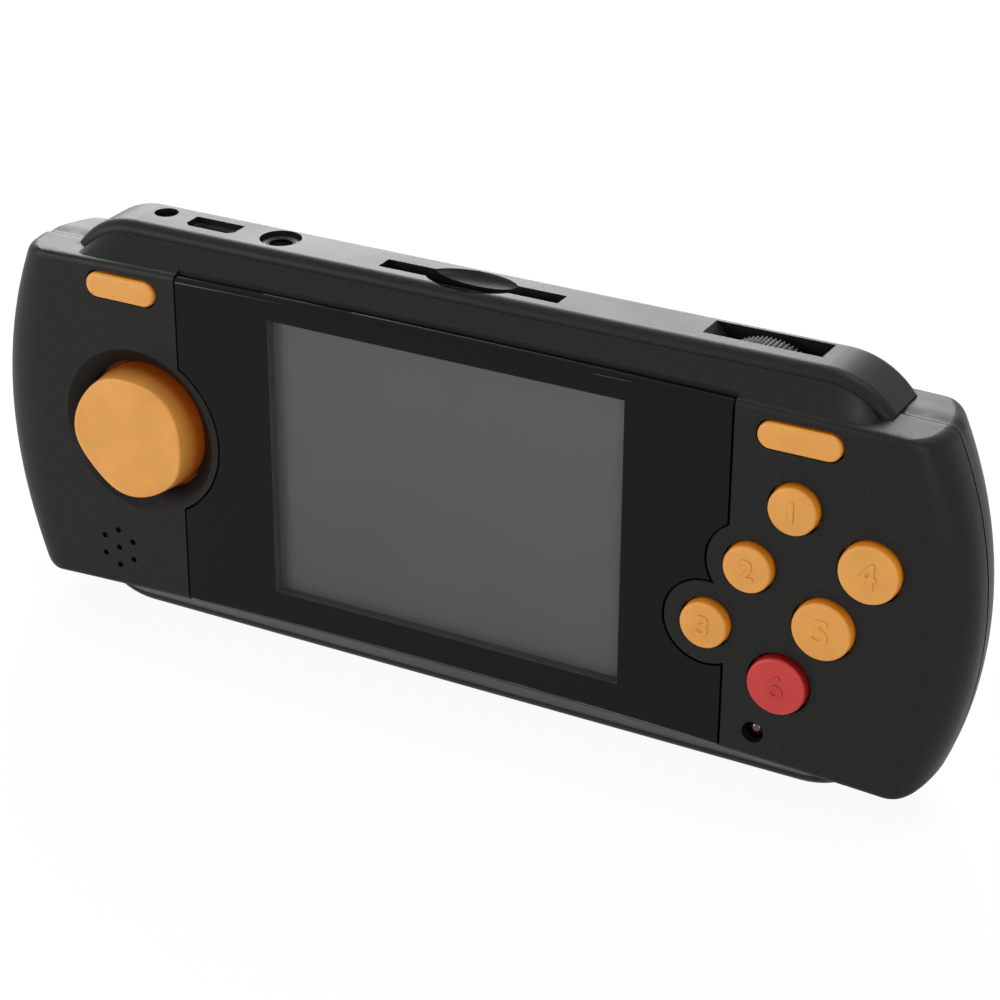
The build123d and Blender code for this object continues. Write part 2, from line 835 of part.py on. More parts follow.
def screen_bezel():
    """Glossy lens border, rounded along its top and bottom."""
    frame = slab(lens_outline(lens_gap), lens_front, lens_back)
    frame -= block(0, 0, window_width, window_height, -overrun, overrun)
    edges = [e for e in frame.edges() if abs((e @ 0.5).Y - lens_front) < lens_proud / 2]
    top = [e for e in edges if (e @ 0.5).Z > window_height / 2 + lens_top_radius]
    low_line = -window_height / 2 - lens_top_radius
    low = [e for e in edges if (e @ 0.5).Z < low_line and e.length > window_height]
    frame = fillet(sorted(top, key=lambda e: e.length)[-1:], lens_top_radius)
    low = [e for e in frame.edges() if abs((e @ 0.5).Y - lens_front) < lens_proud / 2
           and (e @ 0.5).Z < -window_height / 2 - lens_top_radius and e.length > window_height]
    return fillet(low[:1], lens_top_radius / 2)


def screen_window():
    """Clear pane of the lens."""
    return block(0, 0, window_width - 2 * pane_clearance, window_height - 2 * pane_clearance,
                 lens_front, lens_back)


def display_parts():
    """Display glass, backlight, metal tray, foam strips and ribbon behind the lens."""
    glass_front = lens_back + glass_gap
    glass_back = glass_front + glass_thickness
    light_back = glass_back + backlight_thickness
    wide = glass_width + 2 * backlight_margin
    tall = glass_height + 2 * backlight_margin
    tray_back = light_back + tray_gap + tray_sheet
    tray = block(0, 0, wide + 2 * (tray_gap + tray_sheet), tall + 2 * (tray_gap + tray_sheet),
                 bed_back + tray_gap, tray_back)
    tray -= block(0, 0, wide + 2 * tray_gap, tall + 2 * tray_gap, 0, light_back + tray_gap)
    strips = [block(side * (wide - foam_width) / 2, 0, foam_width, foam_length, tray_back, board_front)
              for side in (-1, 1)]
    return {
        "lcd_glass": block(0, 0, glass_width, glass_height, glass_front, glass_back),
        "lcd_backlight": block(0, 0, wide, tall, glass_back, light_back),
        "lcd_tray": tray,
        "lcd_foam_strips": Compound(strips),
        "lcd_ribbon": ribbon(tray_back),
    }


def ribbon(tray_back):
    """Flat cable folded once between the display and the board."""
    front = tray_back + tray_gap
    back = board_front - tray_gap
    radius = (back - front) / 2
    middle = (front + back) / 2
    top = ribbon_low + ribbon_length
    inner_radius = radius - ribbon_sheet
    outer_face = Plane.YZ * (Pos(middle, (top + ribbon_low) / 2) * Rectangle(2 * radius, top - ribbon_low)
                             + Pos(middle, ribbon_low) * Circle(radius))
    inner_face = Plane.YZ * (Pos(middle, (top + ribbon_low) / 2 + overrun / 2)
                             * Rectangle(2 * inner_radius, top - ribbon_low + overrun)
                             + Pos(middle, ribbon_low) * Circle(inner_radius))
    return extrude(outer_face - inner_face, amount=ribbon_width / 2, both=True)


def direction_pad():
    """Direction pad cap with a hollowed face and a broad flange behind the case."""
    flange_front = pad_collar_back + pad_flange_seat
    flange_back = flange_front + pad_flange_thickness
    cap = loft([on_front(Circle(pad_top_radius), -pad_proud),
                on_front(Circle(pad_radius), flange_front)], ruled=True)
    rim = cap.edges().sort_by(Axis.Y)[0]
    cap = fillet(rim, pad_edge_radius)
    flat = pad_top_radius - pad_edge_radius
    bowl = (flat ** 2 + pad_hollow_depth ** 2) / (2 * pad_hollow_depth)
    cap -= Pos(0, -pad_proud + pad_hollow_depth - bowl, 0) * Sphere(bowl)
    cap += disc(0, 0, pad_flange_radius, flange_front, flange_back)
    cap -= disc(0, 0, pad_socket_radius, pad_socket_front, case_depth)
    return Pos(pad_x, 0, pad_z) * cap


def pad_pin():
    """Rocker pin under the direction pad: a round foot and a stem with a domed tip."""
    foot_back = board_front - pad_pin_seat
    foot_front = foot_back - pad_pin_foot_thickness
    tip = pad_socket_front + pad_pin_seat
    pin = disc(pad_x, pad_z, pad_pin_foot_radius, foot_front, foot_back)
    pin += disc(pad_x, pad_z, pad_pin_radius, tip + pad_pin_radius, foot_front)
    return pin + Pos(pad_x, tip + pad_pin_radius, pad_z) * Sphere(pad_pin_radius)


def cap_flange_back():
    """Depth of the back of a button's flange at rest."""
    return wall + button_flange_seat + button_flange_thickness


def round_button(x, z, radius):
    """Round push button with a rounded face and a flange behind the case."""
    flange_front = wall + button_flange_seat
    cap = disc(x, z, radius, -button_proud, flange_front)
    cap = fillet(cap.edges().sort_by(Axis.Y)[0], button_edge_radius)
    return cap + disc(x, z, radius + button_flange_width, flange_front, cap_flange_back())


def long_button(side):
    """Long push button with two ears behind the case."""
    flange_front = wall + button_flange_seat
    cap = slab(Pos(side * long_button_x, long_button_z) * long_button_outline(0), -long_button_proud,
               flange_front)
    face = cap.faces().sort_by(Axis.Y)[0]
    cap = fillet(face.edges(), long_button_edge_radius)
    ears = Rectangle(long_button_length + 2 * long_button_ear, long_button_height)
    return cap + slab(Pos(side * long_button_x, long_button_z) * ears, flange_front, cap_flange_back())


def dome(x, z, sheet_front):
    """Collapsible rubber dome under a button."""
    tip = cap_flange_back() + button_travel + dome_clearance
    return loft([on_front(Pos(x, z) * Circle(dome_tip_radius), tip),
                 on_front(Pos(x, z) * Circle(dome_radius), sheet_front + sheet_thickness / 2)], ruled=True)


def key_sheets():
    """Rubber sheets with a dome for each button and four low ones for the direction pad."""
    sheet_front = board_front - sheet_thickness
    circles = [Pos(x, z) * Circle(small_button_radius) for x, z, radius in button_places()]
    ends = (long_button_length - long_button_height) / 2
    circles += [Pos(long_button_x + side * ends,
                    long_button_z) * Circle(long_button_height / 2) for side in (-1, 1)]
    hull = make_hull([edge for circle in circles for edge in circle.edges()])
    right = slab(hull, sheet_front, board_front)
    for x, z, radius in button_places():
        right += dome(x, z, sheet_front)
    right += dome(long_button_x, long_button_z, sheet_front)
    outline = Pos(pad_x, pad_z) * Circle(pad_flange_radius - button_flange_width)
    tab_low = pad_z
    tab = Rectangle(2 * sheet_margin + dome_radius * 2, long_button_z + dome_radius - tab_low)
    outline += Pos(-long_button_x, (long_button_z + dome_radius + tab_low) / 2) * tab
    left = slab(outline, sheet_front, board_front)
    left += dome(-long_button_x, long_button_z, sheet_front)
    for turn in (0, 90, 180, 270):
        x = pad_x + pad_dome_offset * cos(radians(turn))
        z = pad_z + pad_dome_offset * sin(radians(turn))
        left += disc(x, z, dome_tip_radius, sheet_front - pad_dome_height,
                     sheet_front + sheet_thickness / 2)
    left -= disc(pad_x, pad_z, pad_socket_radius, 0, case_depth)
    return {"left_key_sheet": left, "right_key_sheet": right}


def main_board():
    """Main circuit board, cut to the inside of the case."""
    inset = wall + lip_clearance + lip_thickness + board_edge_clearance
    outline = case_outline(parting_depth, inset)
    high = ridge_wall_top - board_ridge_clearance
    low = ridge_wall_low + board_ridge_clearance
    outline += Pos(0, (high + low) / 2) * Rectangle(2 * board_ridge_half_length, high - low)
    board = slab(outline, board_front, board_back)
    for x, z in post_places():
        board -= disc(x, z, screw_radius + screw_clearance, 0, case_depth)
    return board


def battery_light():
    """Low battery light in its hole, on a foot that stands on the board."""
    lamp = disc(battery_light_x, battery_light_z, light_radius, light_sink + light_radius, board_front)
    lamp += Pos(battery_light_x, light_sink + light_radius, battery_light_z) * Sphere(light_radius)
    foot_front = board_front - light_foot_thickness
    return lamp + disc(battery_light_x, battery_light_z, light_foot_radius, foot_front, board_front)


def charge_light():
    """Charging light in the top, and the holder that carries it on the board."""
    tip = ridge_top - charge_light_sink
    foot = tip - charge_light_length
    place = Pos(charge_light_x, charge_light_y)
    lamp = column(place * Circle(light_radius), foot, tip - light_radius)
    lamp += Pos(charge_light_x, charge_light_y, tip - light_radius) * Sphere(light_radius)
    depth = charge_light_y + light_radius - board_back
    holder = Pos(charge_light_x, board_back + depth / 2) * Rectangle(charge_holder_width, depth)
    return {"charge_light": lamp, "charge_light_holder": column(holder, foot - charge_holder_height, foot)}


def speaker_parts():
    """Small speaker: basket with its magnet, cone and gasket."""
    front = wall + speaker_gasket
    back = front + speaker_depth
    basket = disc(speaker_x, speaker_z, speaker_radius, front, back)
    basket -= disc(speaker_x, speaker_z, speaker_radius - speaker_rim, 0, back - speaker_rim)
    basket += disc(speaker_x, speaker_z, speaker_magnet_radius, back - 2 * speaker_rim, back)
    cone_front = front + speaker_gasket
    rim = speaker_radius - speaker_rim
    inner = speaker_magnet_radius / 2
    cone = loft([on_front(Pos(speaker_x, speaker_z) * Circle(rim), cone_front),
                 on_front(Pos(speaker_x, speaker_z) * Circle(inner),
                          cone_front + speaker_cone_depth)], ruled=True)
    cone -= Pos(0, -speaker_gasket, 0) * cone
    ring = disc(speaker_x, speaker_z, speaker_radius, wall, front)
    ring -= disc(speaker_x, speaker_z, speaker_radius - speaker_rim, 0, case_depth)
    return {"speaker_basket": basket, "speaker_cone": cone, "speaker_gasket": ring}


def data_port():
    """Metal shell of the data port and the plastic tongue inside it."""
    high = ridge_top - port_sink
    low = high - port_length
    shell = column(port_outline(-port_room), low, high)
    shell -= column(port_outline(-port_room - port_sheet), low + port_sheet, high + overrun)
    front = port_y - port_opening_depth / 2 + port_room
    shell += block(port_x, low + port_foot_length / 2, port_foot_width, port_foot_length,
                   board_back, front + port_sheet / 2)
    tongue = column(Pos(port_x, port_y) * Rectangle(port_tongue_width, port_tongue_thickness),
                    low + port_sheet, low + port_sheet + port_tongue_length)
    return {"data_port_shell": shell, "data_port_tongue": tongue}


def video_jack():
    """Round jack: a plastic body with a collar in the case, and a metal sleeve in its mouth."""
    collar_top = ridge_top - jack_collar_sink
    body_top = ridge_wall_top - ridge_part_gap
    depth = 2 * (jack_y - board_back)
    body = column(Pos(jack_x, jack_y) * Rectangle(jack_width, depth), body_top - jack_length, body_top)
    body += column(Pos(jack_x, jack_y) * Circle(jack_collar_radius), body_top - jack_collar_sink,
                   collar_top)
    body -= column(Pos(jack_x, jack_y) * Circle(jack_bore_radius), collar_top - jack_bore_length,
                   collar_top + overrun)
    sleeve_top = collar_top - jack_sleeve_sink
    ring = column(Pos(jack_x, jack_y) * Circle(jack_sleeve_radius), sleeve_top, collar_top + overrun)
    body -= ring
    sleeve = column(Pos(jack_x, jack_y) * Circle(jack_sleeve_radius), sleeve_top, collar_top)
    sleeve -= column(Pos(jack_x, jack_y) * Circle(jack_bore_radius), sleeve_top - overrun,
                     collar_top + overrun)
    return {"video_jack_body": body, "video_jack_sleeve": sleeve}


def card_socket():
    """Metal memory card socket behind the board."""
    high = ridge_wall_top - ridge_part_gap
    low = high - card_socket_length
    back = card_y + card_slot_depth / 2
    depth = back - board_back
    place = Pos(card_x, board_back + depth / 2)
    box = column(place * Rectangle(card_slot_width, depth), low, high)
    cavity = Rectangle(card_cavity_width, depth - 2 * card_socket_sheet)
    return box - column(place * cavity, low + card_socket_sheet, high + overrun)


def wheel_outline():
    """The wheel's rim, with its grip teeth."""
    points = []
    for tooth in range(2 * wheel_tooth_count):
        radius = wheel_radius - (wheel_tooth_depth if tooth % 2 else 0)
        turn = pi * tooth / wheel_tooth_count
        points.append((wheel_x + radius * cos(turn), wheel_z + radius * sin(turn)))
    return make_face(Polyline(*points, close=True))


def volume_parts():
    """Volume wheel, turning on the shaft of its control."""
    front = wheel_y - wheel_thickness / 2
    back = wheel_y + wheel_thickness / 2
    wheel = slab(wheel_outline(), front, back)
    rim = wheel_radius - 2 * wheel_tooth_depth - wheel_web_depth
    web = disc(wheel_x, wheel_z, rim, back - wheel_web_depth, back + overrun)
    wheel -= web - disc(wheel_x, wheel_z, wheel_hub_radius, 0, case_depth)
    wheel -= disc(wheel_x, wheel_z, wheel_bore_radius, 0, case_depth)
    base_back = front - wheel_seat
    base = block(wheel_x, wheel_z, volume_base_width, volume_base_width, board_back, base_back)
    base += disc(wheel_x, wheel_z, wheel_shaft_radius, base_back, back - wheel_shaft_spare)
    return {"volume_wheel": wheel, "volume_control": base}


def power_switch():
    """Power switch body on the board, and its sliding knob in the underside."""
    high = ridge_wall_low + switch_seat
    x = switch_x + switch_travel / 2
    front = board_back + ridge_part_gap
    body = Pos(x, front + switch_body_width / 2) * Rectangle(switch_body_length, switch_body_width)
    knob = Pos(switch_x, switch_y) * Rectangle(switch_knob_length, switch_knob_width)
    return {
        "power_switch_body": column(body, high, high + switch_body_height),
        "power_switch_knob": column(knob, ridge_low + switch_knob_sink, ridge_wall_low),
    }


def case_screws():
    """Six screws that clamp the shells and the board together."""
    seat = case_depth - screw_head_depth
    tip = board_front - screw_hole_depth + screw_clearance
    return Compound([screw(x, z, seat, tip, screw_head_thickness) for x, z in post_places()])


def screw(x, z, seat, tip, head_thickness):
    """One screw: shank forward of its seat, head behind it, with a socket in the head."""
    head_back = seat + head_thickness
    body = disc(x, z, screw_radius, tip, seat) + disc(x, z, screw_head_radius, seat, head_back)
    return body - cross_socket(x, z, head_back, head_thickness)


def cross_socket(x, z, head_back, head_thickness):
    """Cross-shaped driver socket."""
    arm = 2 * screw_socket_radius
    cross = Rectangle(2 * arm, arm / 2) + Rectangle(arm / 2, 2 * arm)
    return slab(Pos(x, z) * cross, head_back - min(screw_socket_depth, head_thickness / 2),
                head_back + overrun)


def battery_parts():
    """Battery, contacts, cover and the cover's screw."""
    battery = slab(Pos(0, battery_z) * RectangleRounded(battery_width, battery_height, battery_edge_radius),
                   battery_front, battery_back)
    contacts = Compound([contact(x, 0) for x in contact_places()])
    back = case_depth - cover_thickness
    cover = slab(cover_outline(0), back, case_depth)
    for side in (-1, 1):
        cover += cover_tab(side, 0)
    seat = case_depth - cover_screw_sink
    cover -= disc(0, cover_screw_z, screw_radius + screw_clearance, 0, case_depth + overrun)
    cover -= disc(0, cover_screw_z, screw_head_radius + screw_clearance, seat, case_depth + overrun)
    cover_screw = screw(0, cover_screw_z, seat, back - cover_screw_length + screw_clearance,
                        cover_screw_head_thickness)
    return {"battery": battery, "battery_contacts": contacts, "battery_cover": cover,
            "battery_cover_screw": cover_screw}


def chips():
    """Processor and memory chips on the back of the board."""
    processor = block(chip_x, chip_z, chip_width, chip_width, board_back, board_back + chip_thickness)
    memory = block(memory_x, chip_z, memory_width, memory_length, board_back, board_back + chip_thickness)
    return {"processor_chip": processor, "memory_chip": memory}


hollow_body = whole_body(0) - whole_body(wall)
within_walls = case_body(wall / 2)

nodes = {
    "front_shell": front_shell(hollow_body, within_walls),
    "rear_shell": rear_shell(hollow_body, within_walls),
    "screen_bezel": screen_bezel(),
    "screen_window": screen_window(),
    "direction_pad": direction_pad(),
    "direction_pad_pin": pad_pin(),
    "main_board": main_board(),
    "battery_light": battery_light(),
    "card_socket": card_socket(),
    "case_screws": case_screws(),
    "reset_button": long_button(-1),
    "start_button": long_button(1),
}
for number, (x, z, radius) in enumerate(button_places(), 1):
    nodes[f"round_button_{number}"] = round_button(x, z, radius)
for group in (display_parts(), key_sheets(), charge_light(), speaker_parts(), data_port(), video_jack(),
              volume_parts(), power_switch(), battery_parts(), chips()):
    nodes.update(group)

stand = Pos(0, (pad_proud - case_depth) / 2, -ridge_low)
os.makedirs("parts", exist_ok=True)
for name, shape in nodes.items():
    export_step(stand * shape, f"parts/{name}.step")
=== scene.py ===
import json
import logging
import math
from dataclasses import dataclass, field
from enum import Enum

import bmesh
import bpy
import numpy as np
from mathutils import Matrix, Vector


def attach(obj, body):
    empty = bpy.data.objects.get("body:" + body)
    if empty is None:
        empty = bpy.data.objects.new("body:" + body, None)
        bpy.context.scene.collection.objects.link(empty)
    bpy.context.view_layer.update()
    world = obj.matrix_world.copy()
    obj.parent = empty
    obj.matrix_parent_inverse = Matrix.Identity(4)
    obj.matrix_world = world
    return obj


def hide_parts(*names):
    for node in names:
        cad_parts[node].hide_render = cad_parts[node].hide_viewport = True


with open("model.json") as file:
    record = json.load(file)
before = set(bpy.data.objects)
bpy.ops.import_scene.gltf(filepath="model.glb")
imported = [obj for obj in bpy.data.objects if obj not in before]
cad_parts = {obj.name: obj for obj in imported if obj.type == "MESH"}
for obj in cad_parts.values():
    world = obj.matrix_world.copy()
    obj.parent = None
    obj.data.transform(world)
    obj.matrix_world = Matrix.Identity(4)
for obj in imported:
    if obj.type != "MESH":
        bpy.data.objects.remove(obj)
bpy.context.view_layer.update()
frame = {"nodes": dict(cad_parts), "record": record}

# Lengths of the object are written in millimetres in the case frame of the CAD source: x right from
# the middle of the screen, y from the front face into the case, z up from the middle of the screen.
MILLIMETRE = 0.001
FACE_TO_MIDDLE = 7.3
SCREEN_HEIGHT = 33.5

# Most of a noise pattern lies between these two values
MOST = (0.3, 0.7)

# Sockets of the Mix node when it mixes colours
MIX_AMOUNT, MIX_FIRST, MIX_SECOND, MIX_RESULT = 0, 6, 7, 2

# Points closer than the first distance and edges shorter than the second, in metres, are merged
MERGE_DISTANCE = 1e-7
SHORT_EDGE = 1e-8

log = logging.getLogger("console")


def metres(points: np.ndarray) -> np.ndarray:
    """Turns case-frame millimetres into the model's metres.

    Args:
        points: array whose last axis holds x, y and z.
    Returns:
        The same points, lifted so that the underside lies at height zero.
    """
    return (points + np.array([0.0, -FACE_TO_MIDDLE, SCREEN_HEIGHT])) * MILLIMETRE


# Shader maths


class Signal:
    """A number inside a node tree, with Python's operators written out as Math nodes."""

    def __init__(self, nodes: "Nodes", socket: bpy.types.NodeSocket) -> None:
        """Wraps a socket of a node tree."""
        self.nodes = nodes
        self.socket = socket

    def _math(self, operation: str, *values: "Signal | float", clamp: bool = False) -> "Signal":
        """Adds one Math node that works on the given values."""
        settings = {"operation": operation, "use_clamp": clamp}
        return self.nodes.signal("ShaderNodeMath", settings, dict(enumerate(values)))

    def __add__(self, other: "Signal | float") -> "Signal":
        """Sum."""
        return self._math("ADD", self, other)

    __radd__ = __add__

    def __sub__(self, other: "Signal | float") -> "Signal":
        """Difference."""
        return self._math("SUBTRACT", self, other)

    def __rsub__(self, other: "Signal | float") -> "Signal":
        """Difference, with this signal taken away."""
        return self._math("SUBTRACT", other, self)

    def __mul__(self, other: "Signal | float") -> "Signal":
        """Product."""
        return self._math("MULTIPLY", self, other)

    __rmul__ = __mul__

    def __pow__(self, other: "Signal | float") -> "Signal":
        """Power."""
        return self._math("POWER", self, other)

    def __abs__(self) -> "Signal":
        """Size without the sign."""
        return self._math("ABSOLUTE", self)

    def span(self, low: float, high: float) -> "Signal":
        """Where this signal stands between two values, held between 0 and 1."""
        return self._math("MULTIPLY", self - low, 1.0 / (high - low), clamp=True)

    def about(self, middle: float, spread: float) -> "Signal":
        """This signal, which runs from 0 to 1, spread about a middle value."""
        return self * spread + (middle - spread / 2)

    def larger(self, other: "Signal | float") -> "Signal":
        """The larger of two signals."""
        return self._math("MAXIMUM", self, other)


class Texture(Enum):
    """How many finer layers a noise pattern has, and how strong these are."""

    ROUGH = (3.0, 0.6)
    SATIN = (2.0, 0.6)
    CLOUDY = (2.0, 0.5)
    SOFT = (1.0, 0.5)
    PITTED = (1.0, 0.4)
    SMOOTH = (0.0, 0.5)


class Nodes:
    """A node tree under construction, of a material or of the world."""

    def __init__(self, tree: bpy.types.NodeTree) -> None:
        """Takes over a tree and empties it."""
        self.tree = tree
        tree.nodes.clear()

    def node(self, kind: str, settings: dict, inputs: dict) -> bpy.types.Node:
        """Adds a node.

        Args:
            kind: the node's type.
            settings: properties, which are set first.
            inputs: socket name or number to a value, a Signal or a socket.
        Returns:
            The new node.
        """
        made = self.tree.nodes.new(kind)
        for key, value in settings.items():
            setattr(made, key, value)
        for key, value in inputs.items():
            self.feed(made.inputs[key], value)
        return made

    def signal(self, kind: str, settings: dict, inputs: dict, output: int | str = 0) -> Signal:
        """Adds a node and wraps one of its outputs.

        Args:
            kind: the node's type.
            settings: properties, which are set first.
            inputs: socket name or number to a value, a Signal or a socket.
            output: name or number of the output.
        Returns:
            The output as a Signal.
        """
        return Signal(self, self.node(kind, settings, inputs).outputs[output])

    def feed(self, socket: bpy.types.NodeSocket, value: object) -> None:
        """Sets a socket's value, or links a Signal or another socket to it."""
        if isinstance(value, Signal):
            self.tree.links.new(value.socket, socket)
        elif isinstance(value, bpy.types.NodeSocket):
            self.tree.links.new(value, socket)
        else:
            socket.default_value = value

    def sight(self) -> Signal:
        """1 for what the camera, a reflection or the clear pane shows, and 0 for other light."""
        path = self.node("ShaderNodeLightPath", {}, {})
        kinds = ("Is Camera Ray", "Is Glossy Ray", "Is Transmission Ray")
        direct, mirrored, through = (Signal(self, path.outputs[kind]) for kind in kinds)
        return direct.larger(mirrored).larger(through)


class Shader(Nodes):
    """A material under construction, with its Principled node and its output."""

    def __init__(self, name: str) -> None:
        """Starts a material of the given name."""
        self.material = bpy.data.materials.new(name)
        self.material.use_nodes = True
        super().__init__(self.material.node_tree)
        self.surface = self.node("ShaderNodeBsdfPrincipled", {}, {})
        self.output = self.node("ShaderNodeOutputMaterial", {}, {"Surface": self.surface.outputs[0]})
        self.place = self.node("ShaderNodeTexCoord", {}, {}).outputs["Object"]

    def axis(self, letter: str) -> Signal:
        """The object's own coordinate along an axis, in metres."""
        return self.signal("ShaderNodeSeparateXYZ", {}, {0: self.place}, letter)

    def noise(self, size: float, texture: Texture, stretch: tuple = (1, 1, 1)) -> Signal:
        """Soft random pattern.

        Args:
            size: size of the pattern's grains in millimetres.
            texture: its finer layers.
            stretch: how much longer the grains are along each axis.
        Returns:
            A signal about 0.5.
        """
        scale = 1.0 / (size * MILLIMETRE)
        scaled = self.node("ShaderNodeMapping", {}, {
            "Vector": self.place, "Scale": [scale / times for times in stretch]})
        detail, rough = texture.value
        return self.signal("ShaderNodeTexNoise", {}, {
            "Vector": scaled.outputs[0], "Scale": 1.0, "Detail": detail, "Roughness": rough})

    def mix(self, amount: Signal, first: object, second: object) -> bpy.types.NodeSocket:
        """Mixes two colours.

        Args:
            amount: 0 for the first colour alone, 1 for the second.
            first: a colour or a socket that gives one.
            second: the same.
        Returns:
            The socket of the mixed colour.
        """
        made = self.node("ShaderNodeMix", {"data_type": "RGBA"}, {
            MIX_AMOUNT: amount, MIX_FIRST: first, MIX_SECOND: second})
        return made.outputs[MIX_RESULT]

    def bump(self, height: Signal, depth: float,
             before: bpy.types.NodeSocket | None = None) -> bpy.types.NodeSocket:
        """Turns a height signal into a normal.

        Args:
            height: the height, from 0 to 1.
            depth: how high 1 stands, in millimetres.
            before: a normal that this one is laid over.
        Returns:
            The normal's socket.
        """
        made = self.node("ShaderNodeBump", {}, {
            "Height": height, "Distance": depth * MILLIMETRE, "Strength": 1.0})
        if before is not None:
            self.feed(made.inputs["Normal"], before)
        return made.outputs[0]

    def set(self, **values: object) -> "Shader":
        """Feeds sockets of the Principled node, named with _ for a space."""
        for key, value in values.items():
            self.feed(self.surface.inputs[key.replace("_", " ")], value)
        return self


# Colours


def colour(red: int, green: int, blue: int) -> tuple:
    """An opaque linear colour from display values between 0 and 255, by the sRGB curve."""
    linear = []
    for channel in (red, green, blue):
        share = channel / 255
        linear.append(share / 12.92 if share <= 0.04045 else ((share + 0.055) / 1.055) ** 2.4)
    return (*linear, 1.0)


class Tone(Enum):
    """Colours of the object, read as plain daylight colours; the window edge, the button sides, the pad's
    foot and the rib tips carry painted light and shade instead.
    """

    CASE = colour(22, 22, 21)
    LENS = colour(10, 10, 10)
    # Painted light: a paler grey for the window's inner walls, standing in for light caught on them
    WINDOW_EDGE_PAINTED_LIGHT = colour(84, 84, 84)
    DISPLAY = colour(103, 103, 104)
    ORANGE = colour(206, 146, 68)
    # Painted light: brighter, deeper orange for the sides of the orange caps, standing in for light falling
    # on them
    ORANGE_SIDE_PAINTED_LIGHT = colour(232, 140, 24)
    # Painted shade: darker orange for the pad's side near its foot, standing in for the shade there
    ORANGE_FOOT_PAINTED_SHADE = colour(176, 84, 14)
    RED = colour(182, 50, 46)
    # Painted shade: darker red for the sides of the red cap, standing in for the shade on them
    RED_SIDE_PAINTED_SHADE = colour(146, 22, 18)
    STEEL = colour(176, 176, 174)
    GOLD = colour(205, 168, 96)
    BOARD = colour(28, 84, 52)
    RUBBER = colour(150, 150, 152)
    INNER = colour(44, 44, 46)
    WHITE = colour(226, 226, 222)
    AMBER = colour(178, 118, 40)
    FOAM = colour(52, 52, 54)
    LAMP = colour(56, 9, 8)
    WRAP = colour(74, 92, 120)
    WHEEL = colour(16, 16, 16)
    # Painted highlight: pale grey for the wheel's rib tips, standing in for light caught on them
    RIB_TIP_PAINTED_HIGHLIGHT = colour(126, 126, 124)

    def dim(self, share: float) -> tuple:
        """This colour made darker or lighter by a share."""
        red, green, blue, _ = self.value
        return (red * share, green * share, blue * share, 1.0)


class Glow(Enum):
    """How far red, green and blue light spreads inside button plastic, as shares of its spread."""

    ORANGE = (1.0, 0.42, 0.08)
    RED = (1.0, 0.16, 0.12)


# Finishes


@dataclass(frozen=True)
class SparkedPlastic:
    """Black case plastic with the fine grain of a spark-eroded mould."""

    name: str
    shade: Tone
    roughness: float = 0.44
    grain: float = 0.34
    depth: float = 0.026
    specular: float = 0.15
    pit_size_share: float = 2.4
    pit_share: float = 0.3
    mark_size: float = 26.0
    mark_haze: float = 0.07
    grain_haze: float = 0.08
    darkest: float = 0.68
    lightest: float = 1.4

    def make(self) -> bpy.types.Material:
        """Builds the material: fine grain, small pits and faint handling marks."""
        shader = Shader(self.name)
        grain = shader.noise(self.grain, Texture.ROUGH)
        pits = shader.noise(self.grain * self.pit_size_share, Texture.PITTED)
        marks = shader.noise(self.mark_size, Texture.ROUGH).span(*MOST)
        height = grain * (1 - self.pit_share) + pits * self.pit_share
        haze = grain.about(self.roughness - self.mark_haze / 2, self.grain_haze)
        return shader.set(
            Base_Color=shader.mix(
                grain.span(*MOST), self.shade.dim(self.darkest), self.shade.dim(self.lightest)),
            Roughness=marks * self.mark_haze + haze,
            Specular_IOR_Level=self.specular,
            Normal=shader.bump(height, self.depth),
        ).material


@dataclass(frozen=True)
class PolishedPlastic:
    """Glossy lens plastic with a very light haze, a few fine specks and a painted lighter edge round the
    window, standing in for light caught on the window's inner walls.
    """

    name: str
    shade: Tone
    # Painted light: the paler colour of the window's inner walls
    edge: Tone
    roughness: float = 0.05
    specular: float = 0.12
    window_half_width: float = 28.8
    window_half_height: float = 22.3
    painted_light_reach: float = 0.04
    haze_size: float = 18.0
    haze_range: tuple = (0.35, 0.75)
    haze: float = 0.04
    wave_size: float = 30.0
    wave_depth: float = 0.02
    speck_size: float = 0.35
    speck_range: tuple = (0.78, 0.84)
    speck_haze: float = 0.2
    speck_light: float = 3.0

    def make(self) -> bpy.types.Material:
        """Builds the material: a broad soft wave, a slow haze, specks and the painted light on the window's
        edge.

        The window's edge is where the distance outside the window's rectangle, the larger of
        |x| - half width and |z| - half height, is nearly zero.
        """
        shader = Shader(self.name)
        across = abs(shader.axis("X")) - self.window_half_width * MILLIMETRE
        high = abs(shader.axis("Z") - SCREEN_HEIGHT * MILLIMETRE)
        outside = across.larger(high - self.window_half_height * MILLIMETRE)
        # Painted light: 1 on the window's inner walls, which take the paler edge colour
        painted_light_wall = outside.span(self.painted_light_reach * MILLIMETRE, 0.0)
        haze = shader.noise(self.haze_size, Texture.ROUGH).span(*self.haze_range)
        wave = shader.noise(self.wave_size, Texture.SMOOTH)
        specks = shader.noise(self.speck_size, Texture.SMOOTH).span(*self.speck_range)
        face = shader.mix(specks, self.shade.value, self.shade.dim(self.speck_light))
        return shader.set(
            Base_Color=shader.mix(painted_light_wall, face, self.edge.value),
            Roughness=haze * self.haze + (specks * self.speck_haze + self.roughness),
            Specular_IOR_Level=self.specular,
            Normal=shader.bump(wave, self.wave_depth),
        ).material


